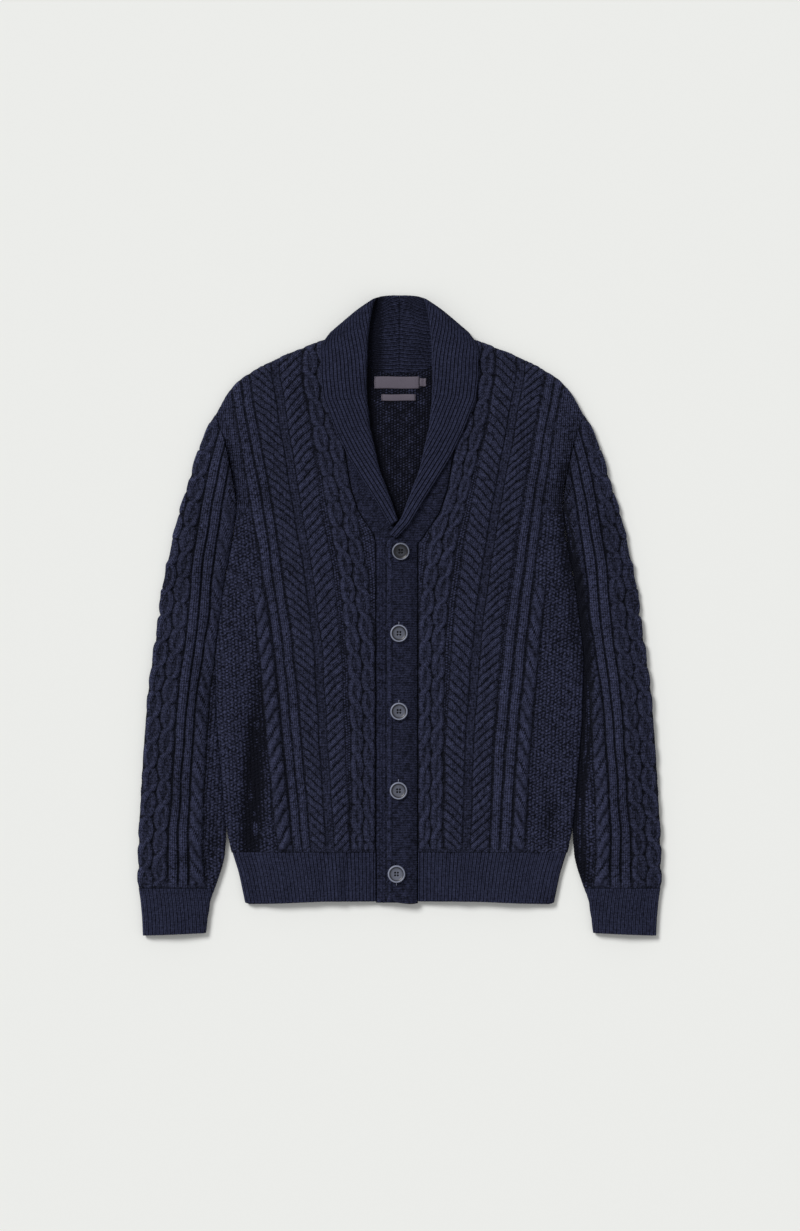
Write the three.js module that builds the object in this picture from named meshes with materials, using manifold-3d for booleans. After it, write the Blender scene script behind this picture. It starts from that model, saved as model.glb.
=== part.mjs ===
// A man's shawl collar cardigan in heavy cable knit, laid flat on its back and buttoned.
// Millimetres. +X is the wearer's left, +Y runs up to the collar and +Z up from the ground.
// The origin is under the middle of the garment. Left and right in names are the wearer's.
import * as THREE from "three";
import { mergeVertices } from "three/addons/utils/BufferGeometryUtils.js";
import Module from "manifold-3d";

const knit = 4; // thickness of the cable knit
const seamGap = 0.4; // between pieces that are sewn together
const backMid = knit / 2; // height of the back layer's middle
const frontMid = 7.6; // height of the front layer's middle at its edges
const sideMid = (backMid + frontMid) / 2;
const sideRadius = (frontMid - backMid) / 2; // where front and back meet round the side
const foldOuter = sideRadius + knit / 2; // radius of the body's rounded edges, outside
const foldInner = sideRadius - knit / 2; // and inside
const loft = 2.4; // how much the front layer swells above its edges
const hemY = -296; // where the body's rib begins
const bodyEndY = -357.5;
const shoulderTip = { x: 230, y: 247.5 };
const neckPoint = { x: 85, y: 344 };
const backNeckY = 300;
const buttonBandX = -29.4; // seam of the right front and its band
const buttonholeBandX = 23; // seam of the left front and its band
const bandTopY = 87.5; // where the bands begin to follow the neck edge
const rib = 3.4; // thickness of the bands' sideways knit
const bandLow = { mid: 7, x: 10.6 }; // the under band and its free edge
const bandHigh = { mid: 10.8, x: -17 }; // the upper band and its free edge
const armpit = { x: 203, y: 131 };
const collarRoll = 2.15; // radius of the collar's roll, at the middle of its cloth
const standGap = 1.2; // between the collar's stand and what it is sewn to, hidden under its fall
const collarFall = 3 * collarRoll; // how far the fall's middle lies from the collar's core
const colours = { knit: 0x2b2d40, rib: 0x292b3d, button: 0x5d6478, label: 0x5f5864 };

// Half width of the body at each height, hem to shoulder tip.
const bodyEdge = [
  { y: -360, x: 192.5 },
  { y: -351, x: 194.4 },
  { y: -321, x: 200.6 },
  { y: -296, x: 208.7 },
  { y: -266, x: 215 },
  { y: -226, x: 219 },
  { y: -131, x: 227 },
  { y: -50, x: 228.7 },
  { y: 30, x: 219 },
  { y: 102, x: 205.6 },
  { y: 131, x: 203 },
  { y: 154, x: 205 },
  { y: 181, x: 210 },
  { y: 221, x: 219 },
  { y: 247.5, x: 230 },
];

// The shoulder line, from the neck to the tip.
const shoulderEdge = [
  { x: 85, y: 344 },
  { x: 99, y: 340.5 },
  { x: 140.6, y: 324 },
  { x: 172, y: 309 },
  { x: 197.5, y: 294 },
  { x: 214, y: 277 },
  { x: 230, y: 247.5 },
];

// The front edge of the neck, from above the straight of the bands to the neck point.
const neckEdge = [
  { y: 100, x: 31.5 },
  { y: 127.5, x: 50.6 },
  { y: 159, x: 60.5 },
  { y: 207.5, x: 68.5 },
  { y: 239, x: 75 },
  { y: 287.5, x: 80.6 },
  { y: 344, x: 85 },
];

// Sections of a sleeve below the armhole: its outer and inner edges. Where a row gives no inner
// x, the sleeve lies along the body's side. `bend` is how much a section curves like the armhole.
const sleeveSections = [
  { outX: 247, outY: 213, inY: 118, bend: 0.75 },
  { outX: 258, outY: 182, inY: 102, bend: 0.5 },
  { outX: 269, outY: 141, inY: 78, bend: 0.2 },
  { outX: 280, outY: 98, inY: 54, bend: 0 },
  { outX: 293, outY: 38, inY: 30, bend: 0 },
  { outX: 305.5, outY: -42, inY: -50, bend: 0 },
  { outX: 313, outY: -90, inY: -90, bend: 0 },
  { outX: 316.5, outY: -131, inY: -131, bend: 0 },
  { outX: 322, outY: -216, inY: -226, bend: 0 },
  { outX: 325.5, outY: -262, inY: -266, bend: 0 },
  { outX: 325.5, outY: -306, inX: 218, inY: -306, bend: 0 },
  { outX: 324.4, outY: -341, inX: 230.5, inY: -341, bend: 0 },
];

const cuffSections = [
  { outX: 323.6, outY: -341.4, inX: 231, inY: -341.4, bend: 0 },
  { outX: 322, outY: -356, inX: 236, inY: -355, bend: 0 },
  { outX: 320, outY: -378, inX: 239.4, inY: -378, bend: 0 },
  { outX: 319, outY: -400.5, inX: 242, inY: -397.5, bend: 0 },
];

// Sections of half a collar: the core of its roll (rx, ry), the height where its stand meets the
// band or the neck seam (sy), the end of its fall (fx, fy), the core's height at those three, and
// how far the cloth has turned round the side of the neck, from the front (0) to the back (180).
const collarSections = [
  { rx: 5, ry: 116, sy: 113.2, fx: 11.6, fy: 111.4, rz: 5.6, sz: 5.6, fz: 5.6, turn: 0 },
  { rx: 15.4, ry: 145.4, sy: 140.5, fx: 26, fy: 137, rz: 5.5, sz: 5.5, fz: 5.5, turn: 0 },
  { rx: 29, ry: 181, sy: 172.5, fx: 46.5, fy: 169.5, rz: 5.5, sz: 5.5, fz: 5.5, turn: 0 },
  { rx: 35, ry: 208, sy: 197, fx: 64, fy: 198, rz: 5.5, sz: 5.5, fz: 5.5, turn: 0 },
  { rx: 41, ry: 234, sy: 226, fx: 79.5, fy: 230, rz: 5.5, sz: 5.5, fz: 6.2, turn: 0 },
  { rx: 45, ry: 274, sy: 270, fx: 95, fy: 270, rz: 6, sz: 5.45, fz: 5.9, turn: 0 },
  { rx: 45, ry: 300, sy: 296, fx: 98, fy: 298, rz: 8.45, sz: 5.45, fz: 6, turn: 0 },
  { rx: 43.5, ry: 338, sy: 318, fx: 98, fy: 316, rz: 8.45, sz: 5.45, fz: 6, turn: 0 },
  { rx: 40, ry: 366, sy: 332, fx: 98.6, fy: 330, rz: 8.45, sz: 5.4, fz: 6, turn: 0 },
  { rx: 35.5, ry: 386, sy: 341.5, fx: 96, fy: 338, rz: 8.45, sz: 5.2, fz: 6.4, turn: 0 },
  { rx: 31, ry: 391, sy: 344.4, fx: 91.5, fy: 338.8, rz: 8.45, sz: 4.8, fz: 7.4, turn: 35 },
  { rx: 29.3, ry: 392.7, sy: 344.8, fx: 84, fy: 346, rz: 8.45, sz: 4.8, fz: 8.45, turn: 70 },
  { rx: 28.6, ry: 393.5, sy: 344.9, fx: 78, fy: 351, rz: 8.45, sz: 4.8, fz: 8.45, turn: 110 },
  { rx: 27.5, ry: 394.4, sy: 344.8, fx: 72, fy: 352, rz: 8.45, sz: 4.8, fz: 8.45, turn: 145 },
  { rx: 25, ry: 395.2, sy: 338, fx: 66, fy: 350, rz: 8.45, sz: 4.5, fz: 8.45, turn: 180 },
  { rx: 18, ry: 395.2, sy: 318, fx: 50, fy: 334, rz: 8.45, sz: 4.2, fz: 8.45, turn: 180 },
  { rx: 10, ry: 395.2, sy: 304.6, fx: 27, fy: 320, rz: 8.45, sz: 4.15, fz: 8.45, turn: 180 },
  { rx: 0.2, ry: 395.2, sy: 300, fx: 0.2, fy: 315, rz: 8.45, sz: 4.15, fz: 8.45, turn: 180 },
];

// The wearer's left half lies over the right one where they cross, and runs on to the band.
const overlapSections = [
  { rx: -9.2, ry: 98.6, sy: 97.6, fx: -3.6, fy: 96, rz: 8.95, sz: 8.95, fz: 8.95, turn: 0 },
  { rx: 5, ry: 117, sy: 114, fx: 11.6, fy: 112.4, rz: 8.8, sz: 8.2, fz: 8.8, turn: 0 },
  { rx: 15.4, ry: 145.4, sy: 140.5, fx: 26, fy: 137, rz: 6.2, sz: 5.6, fz: 6.2, turn: 0 },
];

// Hidden inner edge of a band where it follows the neck edge and tapers away under the collar.
const bandInner = [
  { y: 92, x: -17 },
  { y: 100, x: -6 },
  { y: 112, x: 6 },
  { y: 127.5, x: 15 },
  { y: 142, x: 24 },
  { y: 159, x: 32.5 },
  { y: 180, x: 46 },
  { y: 207.5, x: 61 },
  { y: 222, x: 70 },
];

// How far up a panel its rows lie, as shares of the way from the hem to the shoulder: even ones
// on the body, then close ones at the neck edge and armpit, and round the shoulder's fold.
const bodyRows = [0, 0.055, 0.129, 0.215, 0.304, 0.38, 0.453, 0.53, 0.6];
const chestRows = [0.619, 0.662, 0.711, 0.732, 0.76, 0.787, 0.832, 0.878, 0.912, 0.951];
const shoulderRows = [0.98, 0.9905, 0.9935, 0.998, 1];
const panelRows = [...bodyRows, ...chestRows, ...shoulderRows];

const buttons = [
  { x: 1.6, y: 79.6, tilt: 9 },
  { x: -0.6, y: -22.8, tilt: 0 },
  { x: -0.6, y: -120, tilt: 0 },
  { x: -1.2, y: -218.8, tilt: 0 },
  { x: -3.7, y: -322.5, tilt: 0 },
];
const button = { radius: 11, thick: 4.4, rim: 1.8, dish: 1.3, hole: 0.8, holePitch: 1.5, lift: 0.3 };

const labels = [
  { name: "label_main", x0: -31.5, x1: 24.6, y0: 282.6, y1: 297.6 },
  { name: "label_size", x0: 25.2, x1: 33, y0: 285.4, y1: 295.4 },
  { name: "label_care", x0: -22.6, x1: 20, y0: 267.5, y1: 275.4 },
];
const labelThick = 0.8;

const range = (n) => Array.from({ length: n + 1 }, (_, i) => i / n);
const mix = THREE.MathUtils.lerp;
const smooth = THREE.MathUtils.smoothstep;

// Value of column `want` where column `by` of a table has the value `at`; straight between rows.
function lookUp(table, by, want, at) {
  const rows = [...table].sort((a, b) => a[by] - b[by]);
  const next = rows.findIndex((row) => row[by] >= at);
  if (next === 0) return rows[0][want];
  if (next < 0) return rows[rows.length - 1][want];
  const [low, high] = [rows[next - 1], rows[next]];
  return mix(low[want], high[want], (at - low[by]) / (high[by] - low[by]));
}

const halfWidth = (y) => lookUp(bodyEdge, "y", "x", y);
const shoulderY = (x) => lookUp(shoulderEdge, "x", "y", x);
const neckX = (y) => lookUp(neckEdge, "y", "x", y);
const frontEdge = (bandX, y) => lookUp([{ y: bandTopY, x: Math.abs(bandX) }, ...neckEdge], "y", "x", y);
const backNeck = (x) => backNeckY + (neckPoint.y - backNeckY) * Math.pow(x / neckPoint.x, 2.2);

// Distance from a point to the edges where front and back meet round a fold: the side seam below
// the armpit, and the shoulder.
const sideLine = bodyEdge.filter((row) => row.y <= armpit.y);
function foldDistance(x, y) {
  let nearest = Infinity;
  for (const line of [sideLine, shoulderEdge]) {
    for (let i = 1; i < line.length; i++) {
      const [a, b] = [line[i - 1], line[i]];
      const [dx, dy] = [b.x - a.x, b.y - a.y];
      const along = ((Math.abs(x) - a.x) * dx + (y - a.y) * dy) / (dx * dx + dy * dy);
      const t = Math.min(1, Math.max(0, along));
      nearest = Math.min(nearest, Math.hypot(Math.abs(x) - a.x - t * dx, y - a.y - t * dy));
    }
  }
  return nearest;
}

// Height of a quarter round of a given radius whose centre lies `centre` inside the edge.
function quarter(radius, centre, inside) {
  const off = Math.min(1, Math.max(0, (centre - inside) / radius));
  return radius * Math.sqrt(1 - off * off);
}

// The two surfaces of a layer at a place, as heights above or below the level of the side seam.
function layer(inside) {
  const outer = Math.max(quarter(foldOuter, foldOuter, inside), seamGap / 2 + 0.6);
  const atSeam = inside < knit - 0.01;
  const inner = atSeam ? seamGap / 2 : Math.max(quarter(foldInner, foldOuter, inside), seamGap / 2);
  return { outer, inner };
}

// How far the front swells: most between the middle of a panel and its edges.
const swell = (inside) => loft * smooth(inside, 4, 46);

function frontHeights(x, y) {
  const inside = foldDistance(x, y);
  const { outer, inner } = layer(inside);
  const underCollar = smooth(y, 90, 230);
  const rise = swell(inside) * smooth(Math.abs(x), mix(24, 100, underCollar), mix(70, 150, underCollar));
  return { top: sideMid + outer + rise, low: sideMid + inner + rise };
}

function backHeights(x, y) {
  const { outer, inner } = layer(foldDistance(x, y));
  return { top: sideMid - inner, low: sideMid - outer };
}

function meshOf(points, faces) {
  const geometry = new THREE.BufferGeometry();
  geometry.setAttribute("position", new THREE.Float32BufferAttribute(points.flat(), 3));
  geometry.setIndex(faces);
  const p = geometry.getAttribute("position");
  const corner = (i) => new THREE.Vector3().fromBufferAttribute(p, faces[i]);
  let volume = 0;
  for (let i = 0; i < faces.length; i += 3) {
    volume += corner(i).dot(corner(i + 1).cross(corner(i + 2)));
  }
  if (volume < 0) {
    geometry.setIndex([...faces].reverse());
  }
  geometry.computeVertexNormals();
  return geometry;
}

// A layer of cloth over a grid of places: each cell gives x, y and the heights top and low.
function slab(grid) {
  const [rows, across] = [grid.length, grid[0].length];
  const points = [];
  for (const row of grid) {
    for (const cell of row) points.push([cell.x, cell.y, cell.top]);
  }
  for (const row of grid) {
    for (const cell of row) points.push([cell.x, cell.y, cell.low]);
  }
  const under = rows * across;
  const faces = [];
  const quad = (a, b, c, d) => faces.push(a, b, c, a, c, d);
  for (let i = 0; i < rows - 1; i++) {
    for (let j = 0; j < across - 1; j++) {
      const a = i * across + j;
      quad(a, a + 1, a + across + 1, a + across);
      quad(under + a, under + a + across, under + a + across + 1, under + a + 1);
    }
  }
  const rim = [];
  for (let j = 0; j < across - 1; j++) rim.push(j);
  for (let i = 0; i < rows - 1; i++) rim.push(i * across + across - 1);
  for (let j = across - 1; j > 0; j--) rim.push((rows - 1) * across + j);
  for (let i = rows - 1; i > 0; i--) rim.push(i * across);
  rim.forEach((a, k) => {
    const b = rim[(k + 1) % rim.length];
    quad(a, under + a, under + b, b);
  });
  return meshOf(points, faces);
}

// Columns of a panel between two edges: plain fractions, then the steps round a folded edge.
const foldSteps = [foldOuter + 1.2, foldOuter, knit, 1.4, 0];
function across(count, from, to) {
  const last = to - foldSteps[0] - 6;
  const plain = range(count).map((t) => mix(from, last, t));
  return [...plain, ...foldSteps.map((step) => to - step)];
}

// A front panel, on the wearer's left when side is 1, from its band to the side and shoulder.
function frontPanel(side, bandX) {
  const grid = panelRows.map((v) => {
    const inner = frontEdge(bandX, mix(hemY, neckPoint.y, v)) + seamGap / 2;
    const outer = halfWidth(mix(hemY, shoulderTip.y, v)) - 0.1;
    return across(7, inner, outer).map((x) => {
      const t = (x - inner) / (outer - inner);
      const topX = mix(neckPoint.x, shoulderTip.x, t);
      const y = mix(hemY + seamGap / 2, shoulderY(topX), v);
      return { x: side * x, y, ...frontHeights(x, y) };
    });
  });
  return slab(grid);
}

function backPanel() {
  const neckShare = neckPoint.x / shoulderTip.x;
  const shares = [0, 0.13, 0.26, neckShare, 0.55, 0.75, 0.9];
  const grid = panelRows.filter((v) => v > 0.7 || v < 0.61).map((v) => {
    const outer = halfWidth(mix(hemY, shoulderTip.y, v)) - 0.1;
    const right = shares.map((share) => share * (outer - foldSteps[0] - 4) / 0.9);
    right.push(...foldSteps.map((step) => outer - step));
    const all = [...right.slice(1).reverse().map((x) => -x), ...right];
    return all.map((x) => {
      const t = Math.abs(x) / outer;
      const topX = t * shoulderTip.x;
      const topY = topX > neckPoint.x ? shoulderY(topX) : backNeck(topX);
      const y = mix(hemY + seamGap / 2, topY, v);
      return { x, y, ...backHeights(x, y) };
    });
  });
  return slab(grid);
}

const ribRows = [hemY - seamGap / 2, -312, -330, -345, bodyEndY];

function frontRib(side, bandX) {
  const grid = ribRows.map((y) => {
    const places = across(5, Math.abs(bandX) + seamGap / 2, halfWidth(y));
    return places.map((x) => ({ x: side * x, y, ...frontHeights(x, y) }));
  });
  return slab(grid);
}

function backRib() {
  const grid = ribRows.map((y) => {
    const right = across(6, 0, halfWidth(y));
    const all = [...right.slice(1).reverse().map((x) => -x), ...right];
    return all.map((x) => ({ x, y, ...backHeights(x, y) }));
  });
  return slab(grid);
}

// A band: straight up the front, then along the neck edge until it tapers away.
const bandColumns = [0, 0.15, 0.32, 0.5, 0.75, 1];

function band(side, seamX, freeX, heights) {
  const rows = [bodyEndY - 1, -270, -180, -90, 0, bandTopY].map((y) => ({ y, free: freeX }));
  for (const row of bandInner) rows.push({ y: row.y, free: side * Math.max(row.x, side * freeX) });
  const grid = rows.map(({ y, free }) => {
    const seam = side * (frontEdge(seamX, y) - seamGap / 2);
    return bandColumns.map((t) => {
      const x = mix(seam, free, t);
      return { x, y, ...heights(x, y) };
    });
  });
  return slab(grid);
}

const underHeights = () => ({ top: bandLow.mid + rib / 2, low: bandLow.mid - rib / 2 });

// The upper band lies on the under one and comes down beyond its free edge to the left front.
function upperHeights(x, y) {
  const down = Math.max(smooth(x, bandLow.x + 1, buttonholeBandX - 1), smooth(y, 108, 124));
  const middle = mix(bandHigh.mid, frontMid - 0.2, down);
  return { top: middle + rib / 2, low: middle - rib / 2 };
}

// A flattened tube with an open end at its first and last sections.
function tube(sections, side) {
  const rings = sections.map((section) => {
    const { width, place, rise } = section;
    const ring = (radius, wall) => {
      const near = [wall, mix(wall, foldOuter, 0.3), foldOuter];
      const far = near.map((d) => width - d).reverse();
      const steps = [...near, width * 0.25, width * 0.5, width * 0.75, ...far];
      const round = (d) => quarter(radius, foldOuter, Math.min(d, width - d));
      const puff = (d) => rise * smooth(Math.min(d, width - d), foldOuter, 30);
      const upper = steps.map((d) => [...place(d / width), sideMid + round(d) + puff(d)]);
      const lower = steps.slice(1, -1).map((d) => [...place(d / width), sideMid - round(d)]);
      return [...upper, ...lower.reverse()];
    };
    return { outer: ring(foldOuter, 0), inner: ring(foldInner, knit) };
  });
  const count = rings[0].outer.length;
  const points = rings.flatMap((r) => [...r.outer, ...r.inner]).map(([x, y, z]) => [side * x, y, z]);
  const faces = [];
  const quad = (a, b, c, d) => faces.push(a, b, c, a, c, d);
  rings.forEach((_, k) => {
    for (let j = 0; j < count; j++) {
      const next = (j + 1) % count;
      const [a, b] = [2 * count * k + j, 2 * count * k + next];
      if (k < rings.length - 1) {
        quad(a, b, b + 2 * count, a + 2 * count);
        quad(a + count, a + 3 * count, b + 3 * count, b + count);
      }
      if (k === 0) quad(a, a + count, b + count, b);
      if (k === rings.length - 1) quad(a, b, b + count, a + count);
    }
  });
  return meshOf(points, faces);
}

// The armhole seam, from the armpit (0) to the shoulder tip (1), a seam's gap out from the body.
function armhole(t) {
  const y = mix(armpit.y, shoulderTip.y, t);
  return [halfWidth(y) + seamGap + 0.2, y];
}

// Sections lie straight across the sleeve, and those near the armhole bend like its seam.
function sleevePlace(row, bend) {
  return (t) => {
    const [ax, ay] = armhole(t);
    const bow = [ax - mix(armhole(0)[0], armhole(1)[0], t), ay - mix(armhole(0)[1], armhole(1)[1], t)];
    return [mix(row.inX, row.outX, t) + bend * bow[0], mix(row.inY, row.outY, t) + bend * bow[1]];
  };
}

function tubeSections(table, rise) {
  const beside = (y) => halfWidth(y) + 2 * seamGap;
  const rows = table.map((row) => ({ ...row, inX: row.inX ?? beside(row.inY) }));
  return rows.map((row) => ({
    width: Math.hypot(row.outX - row.inX, row.outY - row.inY),
    place: sleevePlace(row, row.bend),
    rise,
  }));
}

function sleeve(side) {
  const [low, high] = [armhole(0), armhole(1)];
  const first = { inX: low[0], inY: low[1], outX: high[0], outY: high[1], bend: 1 };
  return tube(tubeSections([first, ...sleeveSections], loft), side);
}

// A point of a collar section: `along` the cloth from the roll (0) to its end (1), on the stand or
// the fall, `off` from the middle of the cloth. It turns from front to back with the section.
const sideAcross = { x: 0.671, y: 0.741 };

function collarPoint(row, part, along, off) {
  const turn = THREE.MathUtils.degToRad(row.turn);
  const end = part === "stand" ? { x: row.sx, y: row.sy, z: row.sz } : { x: row.fx, y: row.fy, z: row.fz };
  const turned = Math.sin(turn);
  const standRadius = mix(collarRoll, sideRadius, along * turned);
  const radius = (part === "stand" ? standRadius : collarFall) + off;
  const core = mix(row.rz, end.z, smooth(along, 0.45, 1));
  return [
    mix(row.rx, end.x, along) + radius * turned * sideAcross.x,
    mix(row.ry, end.y, along) + radius * turned * sideAcross.y,
    core + radius * Math.cos(turn),
  ];
}

// The roll joins stand and fall round a half circle beyond the core.
function rollPoint(row, angle, off) {
  const turn = THREE.MathUtils.degToRad(row.turn);
  const length = Math.hypot(row.fx - row.rx, row.fy - row.ry);
  const [dx, dy] = [(row.fx - row.rx) / length, (row.fy - row.ry) / length];
  const out = (collarRoll + off) * Math.cos(angle);
  const up = 2 * collarRoll + (collarRoll + off) * Math.sin(angle);
  return [
    row.rx - out * dx + up * Math.sin(turn) * sideAcross.x,
    row.ry - out * dy + up * Math.sin(turn) * sideAcross.y,
    row.rz + up * Math.cos(turn),
  ];
}

const collarSteps = [1, 0.82, 0.64, 0.45, 0.2];
const rollAngles = [-90, -45, 0, 45, 90].map(THREE.MathUtils.degToRad);

function collarLoop(row) {
  const half = knit / 2;
  const out = [
    ...collarSteps.map((t) => collarPoint(row, "stand", t, -half)),
    ...rollAngles.map((angle) => rollPoint(row, angle, half)),
    ...[...collarSteps].reverse().map((t) => collarPoint(row, "fall", t, half)),
  ];
  const back = [
    ...collarSteps.map((t) => collarPoint(row, "fall", t, -half)),
    ...[...rollAngles].reverse().map((angle) => rollPoint(row, angle, -half)),
    ...[...collarSteps].reverse().map((t) => collarPoint(row, "stand", t, half)),
  ];
  return [...out, ...back];
}

// Where the stand ends: a seam's gap from the band or the neck edge in front, and from the back
// panel's neck curve behind.
function withStandEnd(row) {
  if (row.turn > 90) {
    const t = THREE.MathUtils.clamp((row.sy - backNeckY) / (neckPoint.y - backNeckY), 0, 1);
    const sx = Math.max(0.2, neckPoint.x * Math.pow(t, 1 / 2.2));
    return { ...row, sx, sy: row.sy + 1.5 * standGap };
  }
  const seam = row.sy < 222 ? lookUp(bandInner, "y", "x", row.sy) : neckX(row.sy);
  return { ...row, sx: seam - standGap };
}

function collar(side, rows) {
  const loops = rows.map((row) => collarLoop(withStandEnd(row)));
  const count = loops[0].length;
  const points = loops.flat().map(([x, y, z]) => [side * x, y, z]);
  const faces = [];
  const quad = (a, b, c, d) => faces.push(a, b, c, a, c, d);
  for (let k = 0; k < loops.length - 1; k++) {
    for (let j = 0; j < count; j++) {
      const next = (j + 1) % count;
      quad(k * count + j, k * count + next, (k + 1) * count + next, (k + 1) * count + j);
    }
  }
  const end = (loops.length - 1) * count;
  for (let j = 0; j < count / 2 - 1; j++) {
    const mirror = count - 1 - j;
    quad(mirror, mirror - 1, j + 1, j);
    quad(end + j, end + j + 1, end + mirror - 1, end + mirror);
  }
  return meshOf(points, faces);
}

const wasm = await Module();
wasm.setup();

function solidOf(geometry) {
  const bare = geometry.clone();
  bare.deleteAttribute("normal");
  bare.deleteAttribute("uv");
  const merged = mergeVertices(bare, 1e-4);
  const vertProperties = new Float32Array(merged.getAttribute("position").array);
  const triVerts = new Uint32Array(merged.getIndex().array);
  return new wasm.Manifold(new wasm.Mesh({ numProp: 3, vertProperties, triVerts }));
}

function geometryOf(solid) {
  const mesh = solid.getMesh();
  const geometry = new THREE.BufferGeometry();
  geometry.setAttribute("position", new THREE.BufferAttribute(mesh.vertProperties, 3));
  geometry.setIndex(new THREE.BufferAttribute(mesh.triVerts, 1));
  geometry.computeVertexNormals();
  return geometry;
}

// A four-hole button: a turned disc with a raised rim and a dished middle.
function buttonBody() {
  const { radius, thick, rim, dish, hole, holePitch } = button;
  const profile = [
    [0, 0], [radius - 1.2, 0], [radius, 1.4], [radius, thick - 1], [radius - 0.8, thick],
    [radius - rim, thick], [radius - rim - 1, thick - dish], [holePitch + hole + 1, thick - dish],
    [0, thick - dish],
  ].map(([r, z]) => new THREE.Vector2(r, z));
  const disc = new THREE.LatheGeometry(profile, 28);
  disc.rotateX(Math.PI / 2);
  let body = solidOf(disc);
  for (const x of [-holePitch, holePitch]) {
    for (const y of [-holePitch, holePitch]) {
      const drill = new THREE.CylinderGeometry(hole, hole, 4 * thick, 10);
      drill.rotateX(Math.PI / 2).translate(x, y, 0);
      body = body.subtract(solidOf(drill));
    }
  }
  return geometryOf(body);
}

const cardigan = new THREE.Group();
const finishes = {
  knit: new THREE.MeshStandardMaterial({ color: colours.knit, roughness: 0.95, metalness: 0 }),
  rib: new THREE.MeshStandardMaterial({ color: colours.rib, roughness: 0.95, metalness: 0 }),
  button: new THREE.MeshStandardMaterial({ color: colours.button, roughness: 0.4, metalness: 0 }),
  label: new THREE.MeshStandardMaterial({ color: colours.label, roughness: 0.7, metalness: 0 }),
};

function add(name, geometry, finish) {
  const mesh = new THREE.Mesh(geometry, finishes[finish].clone());
  mesh.name = name;
  cardigan.add(mesh);
  return mesh;
}

add("back_panel", backPanel(), "knit");
add("back_hem_rib", backRib(), "rib");
add("front_right", frontPanel(-1, buttonBandX), "knit");
add("front_left", frontPanel(1, buttonholeBandX), "knit");
add("hem_rib_right", frontRib(-1, buttonBandX), "rib");
add("hem_rib_left", frontRib(1, buttonholeBandX), "rib");
add("band_button", band(-1, buttonBandX, bandLow.x, underHeights), "rib");
add("band_buttonhole", band(1, buttonholeBandX, bandHigh.x, upperHeights), "rib");
add("collar_right", collar(-1, collarSections), "rib");
add("collar_left", collar(1, [...overlapSections, ...collarSections.slice(2)]), "rib");
for (const [name, side] of [["right", -1], ["left", 1]]) {
  add("sleeve_" + name, sleeve(side), "knit");
  add("cuff_" + name, tube(tubeSections(cuffSections, 0.6), side), "rib");
}
buttons.forEach(({ x, y, tilt }, i) => {
  const disc = add("button_" + (i + 1), buttonBody(), "button");
  const lean = THREE.MathUtils.degToRad(tilt);
  disc.position.set(x, y, bandHigh.mid + rib / 2 + button.lift + button.radius * Math.sin(lean));
  disc.rotation.y = lean;
});
for (const { name, x0, x1, y0, y1 } of labels) {
  const flat = new THREE.BoxGeometry(x1 - x0, y1 - y0, labelThick);
  const tag = add(name, flat, "label");
  tag.position.set((x0 + x1) / 2, (y0 + y1) / 2, knit + seamGap + labelThick / 2);
}

export default cardigan;
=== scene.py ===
# A man's shawl collar cardigan in heavy cable knit, buttoned and laid flat on its back.
import bpy
import numpy as np
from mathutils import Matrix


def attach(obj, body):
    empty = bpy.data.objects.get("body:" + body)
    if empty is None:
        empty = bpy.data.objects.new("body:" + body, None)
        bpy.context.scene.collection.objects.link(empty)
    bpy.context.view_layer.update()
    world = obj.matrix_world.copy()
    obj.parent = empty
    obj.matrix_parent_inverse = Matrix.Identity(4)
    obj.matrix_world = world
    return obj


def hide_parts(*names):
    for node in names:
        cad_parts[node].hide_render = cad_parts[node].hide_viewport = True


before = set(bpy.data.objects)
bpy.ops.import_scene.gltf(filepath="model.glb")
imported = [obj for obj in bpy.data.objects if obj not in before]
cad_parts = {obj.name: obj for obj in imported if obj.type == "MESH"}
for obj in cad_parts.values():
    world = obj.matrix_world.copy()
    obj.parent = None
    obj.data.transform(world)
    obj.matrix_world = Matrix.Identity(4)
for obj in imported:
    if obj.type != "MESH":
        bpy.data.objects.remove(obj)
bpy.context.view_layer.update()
print("frame loaded:", len(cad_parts), "solids")

mm = 0.001  # the tables below are in millimetres

# Sizes shared by the pieces: the body's half width up its side, the shoulder, the neck edge.
body = dict(
    sideY=[-360, -351, -321, -296, -266, -226, -131, -50, 30, 102, 131, 154, 181, 221, 247.5],
    sideX=[192.5, 194.4, 200.6, 208.7, 215, 219, 227, 228.7, 219, 205.6, 203, 205, 210, 219, 230],
    shoulderX=[85, 99, 140.6, 172, 197.5, 214, 230],
    shoulderY=[344, 340.5, 324, 309, 294, 277, 247.5],
    neckY=[87.5, 100, 127.5, 159, 207.5, 239, 287.5, 344],
    neckX=[29.4, 31.5, 50.6, 60.5, 68.5, 75, 80.6, 85],
    hemY=-296, armpitY=131, tipX=230, tipY=247.5, neckSide=85, neckTop=344,
    sideMid=4.8, foldOuter=4.8, foldInner=0.8, loft=2.4)
bandSeam = dict(right=-29.4, left=23.0)  # where each front meets its band


# Table columns made dense and eased: straight between rows, then averaged over `reach` mm.
def easedLine(at, value, reach=14, step=1.0):
    at, value = np.array(at, float), np.array(value, float)
    if at[0] > at[-1]:
        at, value = at[::-1], value[::-1]
    dense = np.arange(at[0], at[-1] + step, step)
    line = np.interp(dense, at, value)
    n = max(1, int(reach / step))
    ends = [line[0] - (line[1] - line[0]) * np.arange(n, 0, -1),
            line[-1] + (line[-1] - line[-2]) * np.arange(1, n + 1)]
    padded = np.concatenate([ends[0], line, ends[1]])
    kernel = np.hanning(2 * n + 3)[1:-1]
    return dense, np.convolve(padded, kernel / kernel.sum(), "same")[n:-n]


sideLine = easedLine(body["sideY"], body["sideX"])
shoulderLine = easedLine(body["shoulderX"], body["shoulderY"], 8)
neckLine = easedLine(body["neckY"][1:], body["neckX"][1:], 12)


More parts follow.
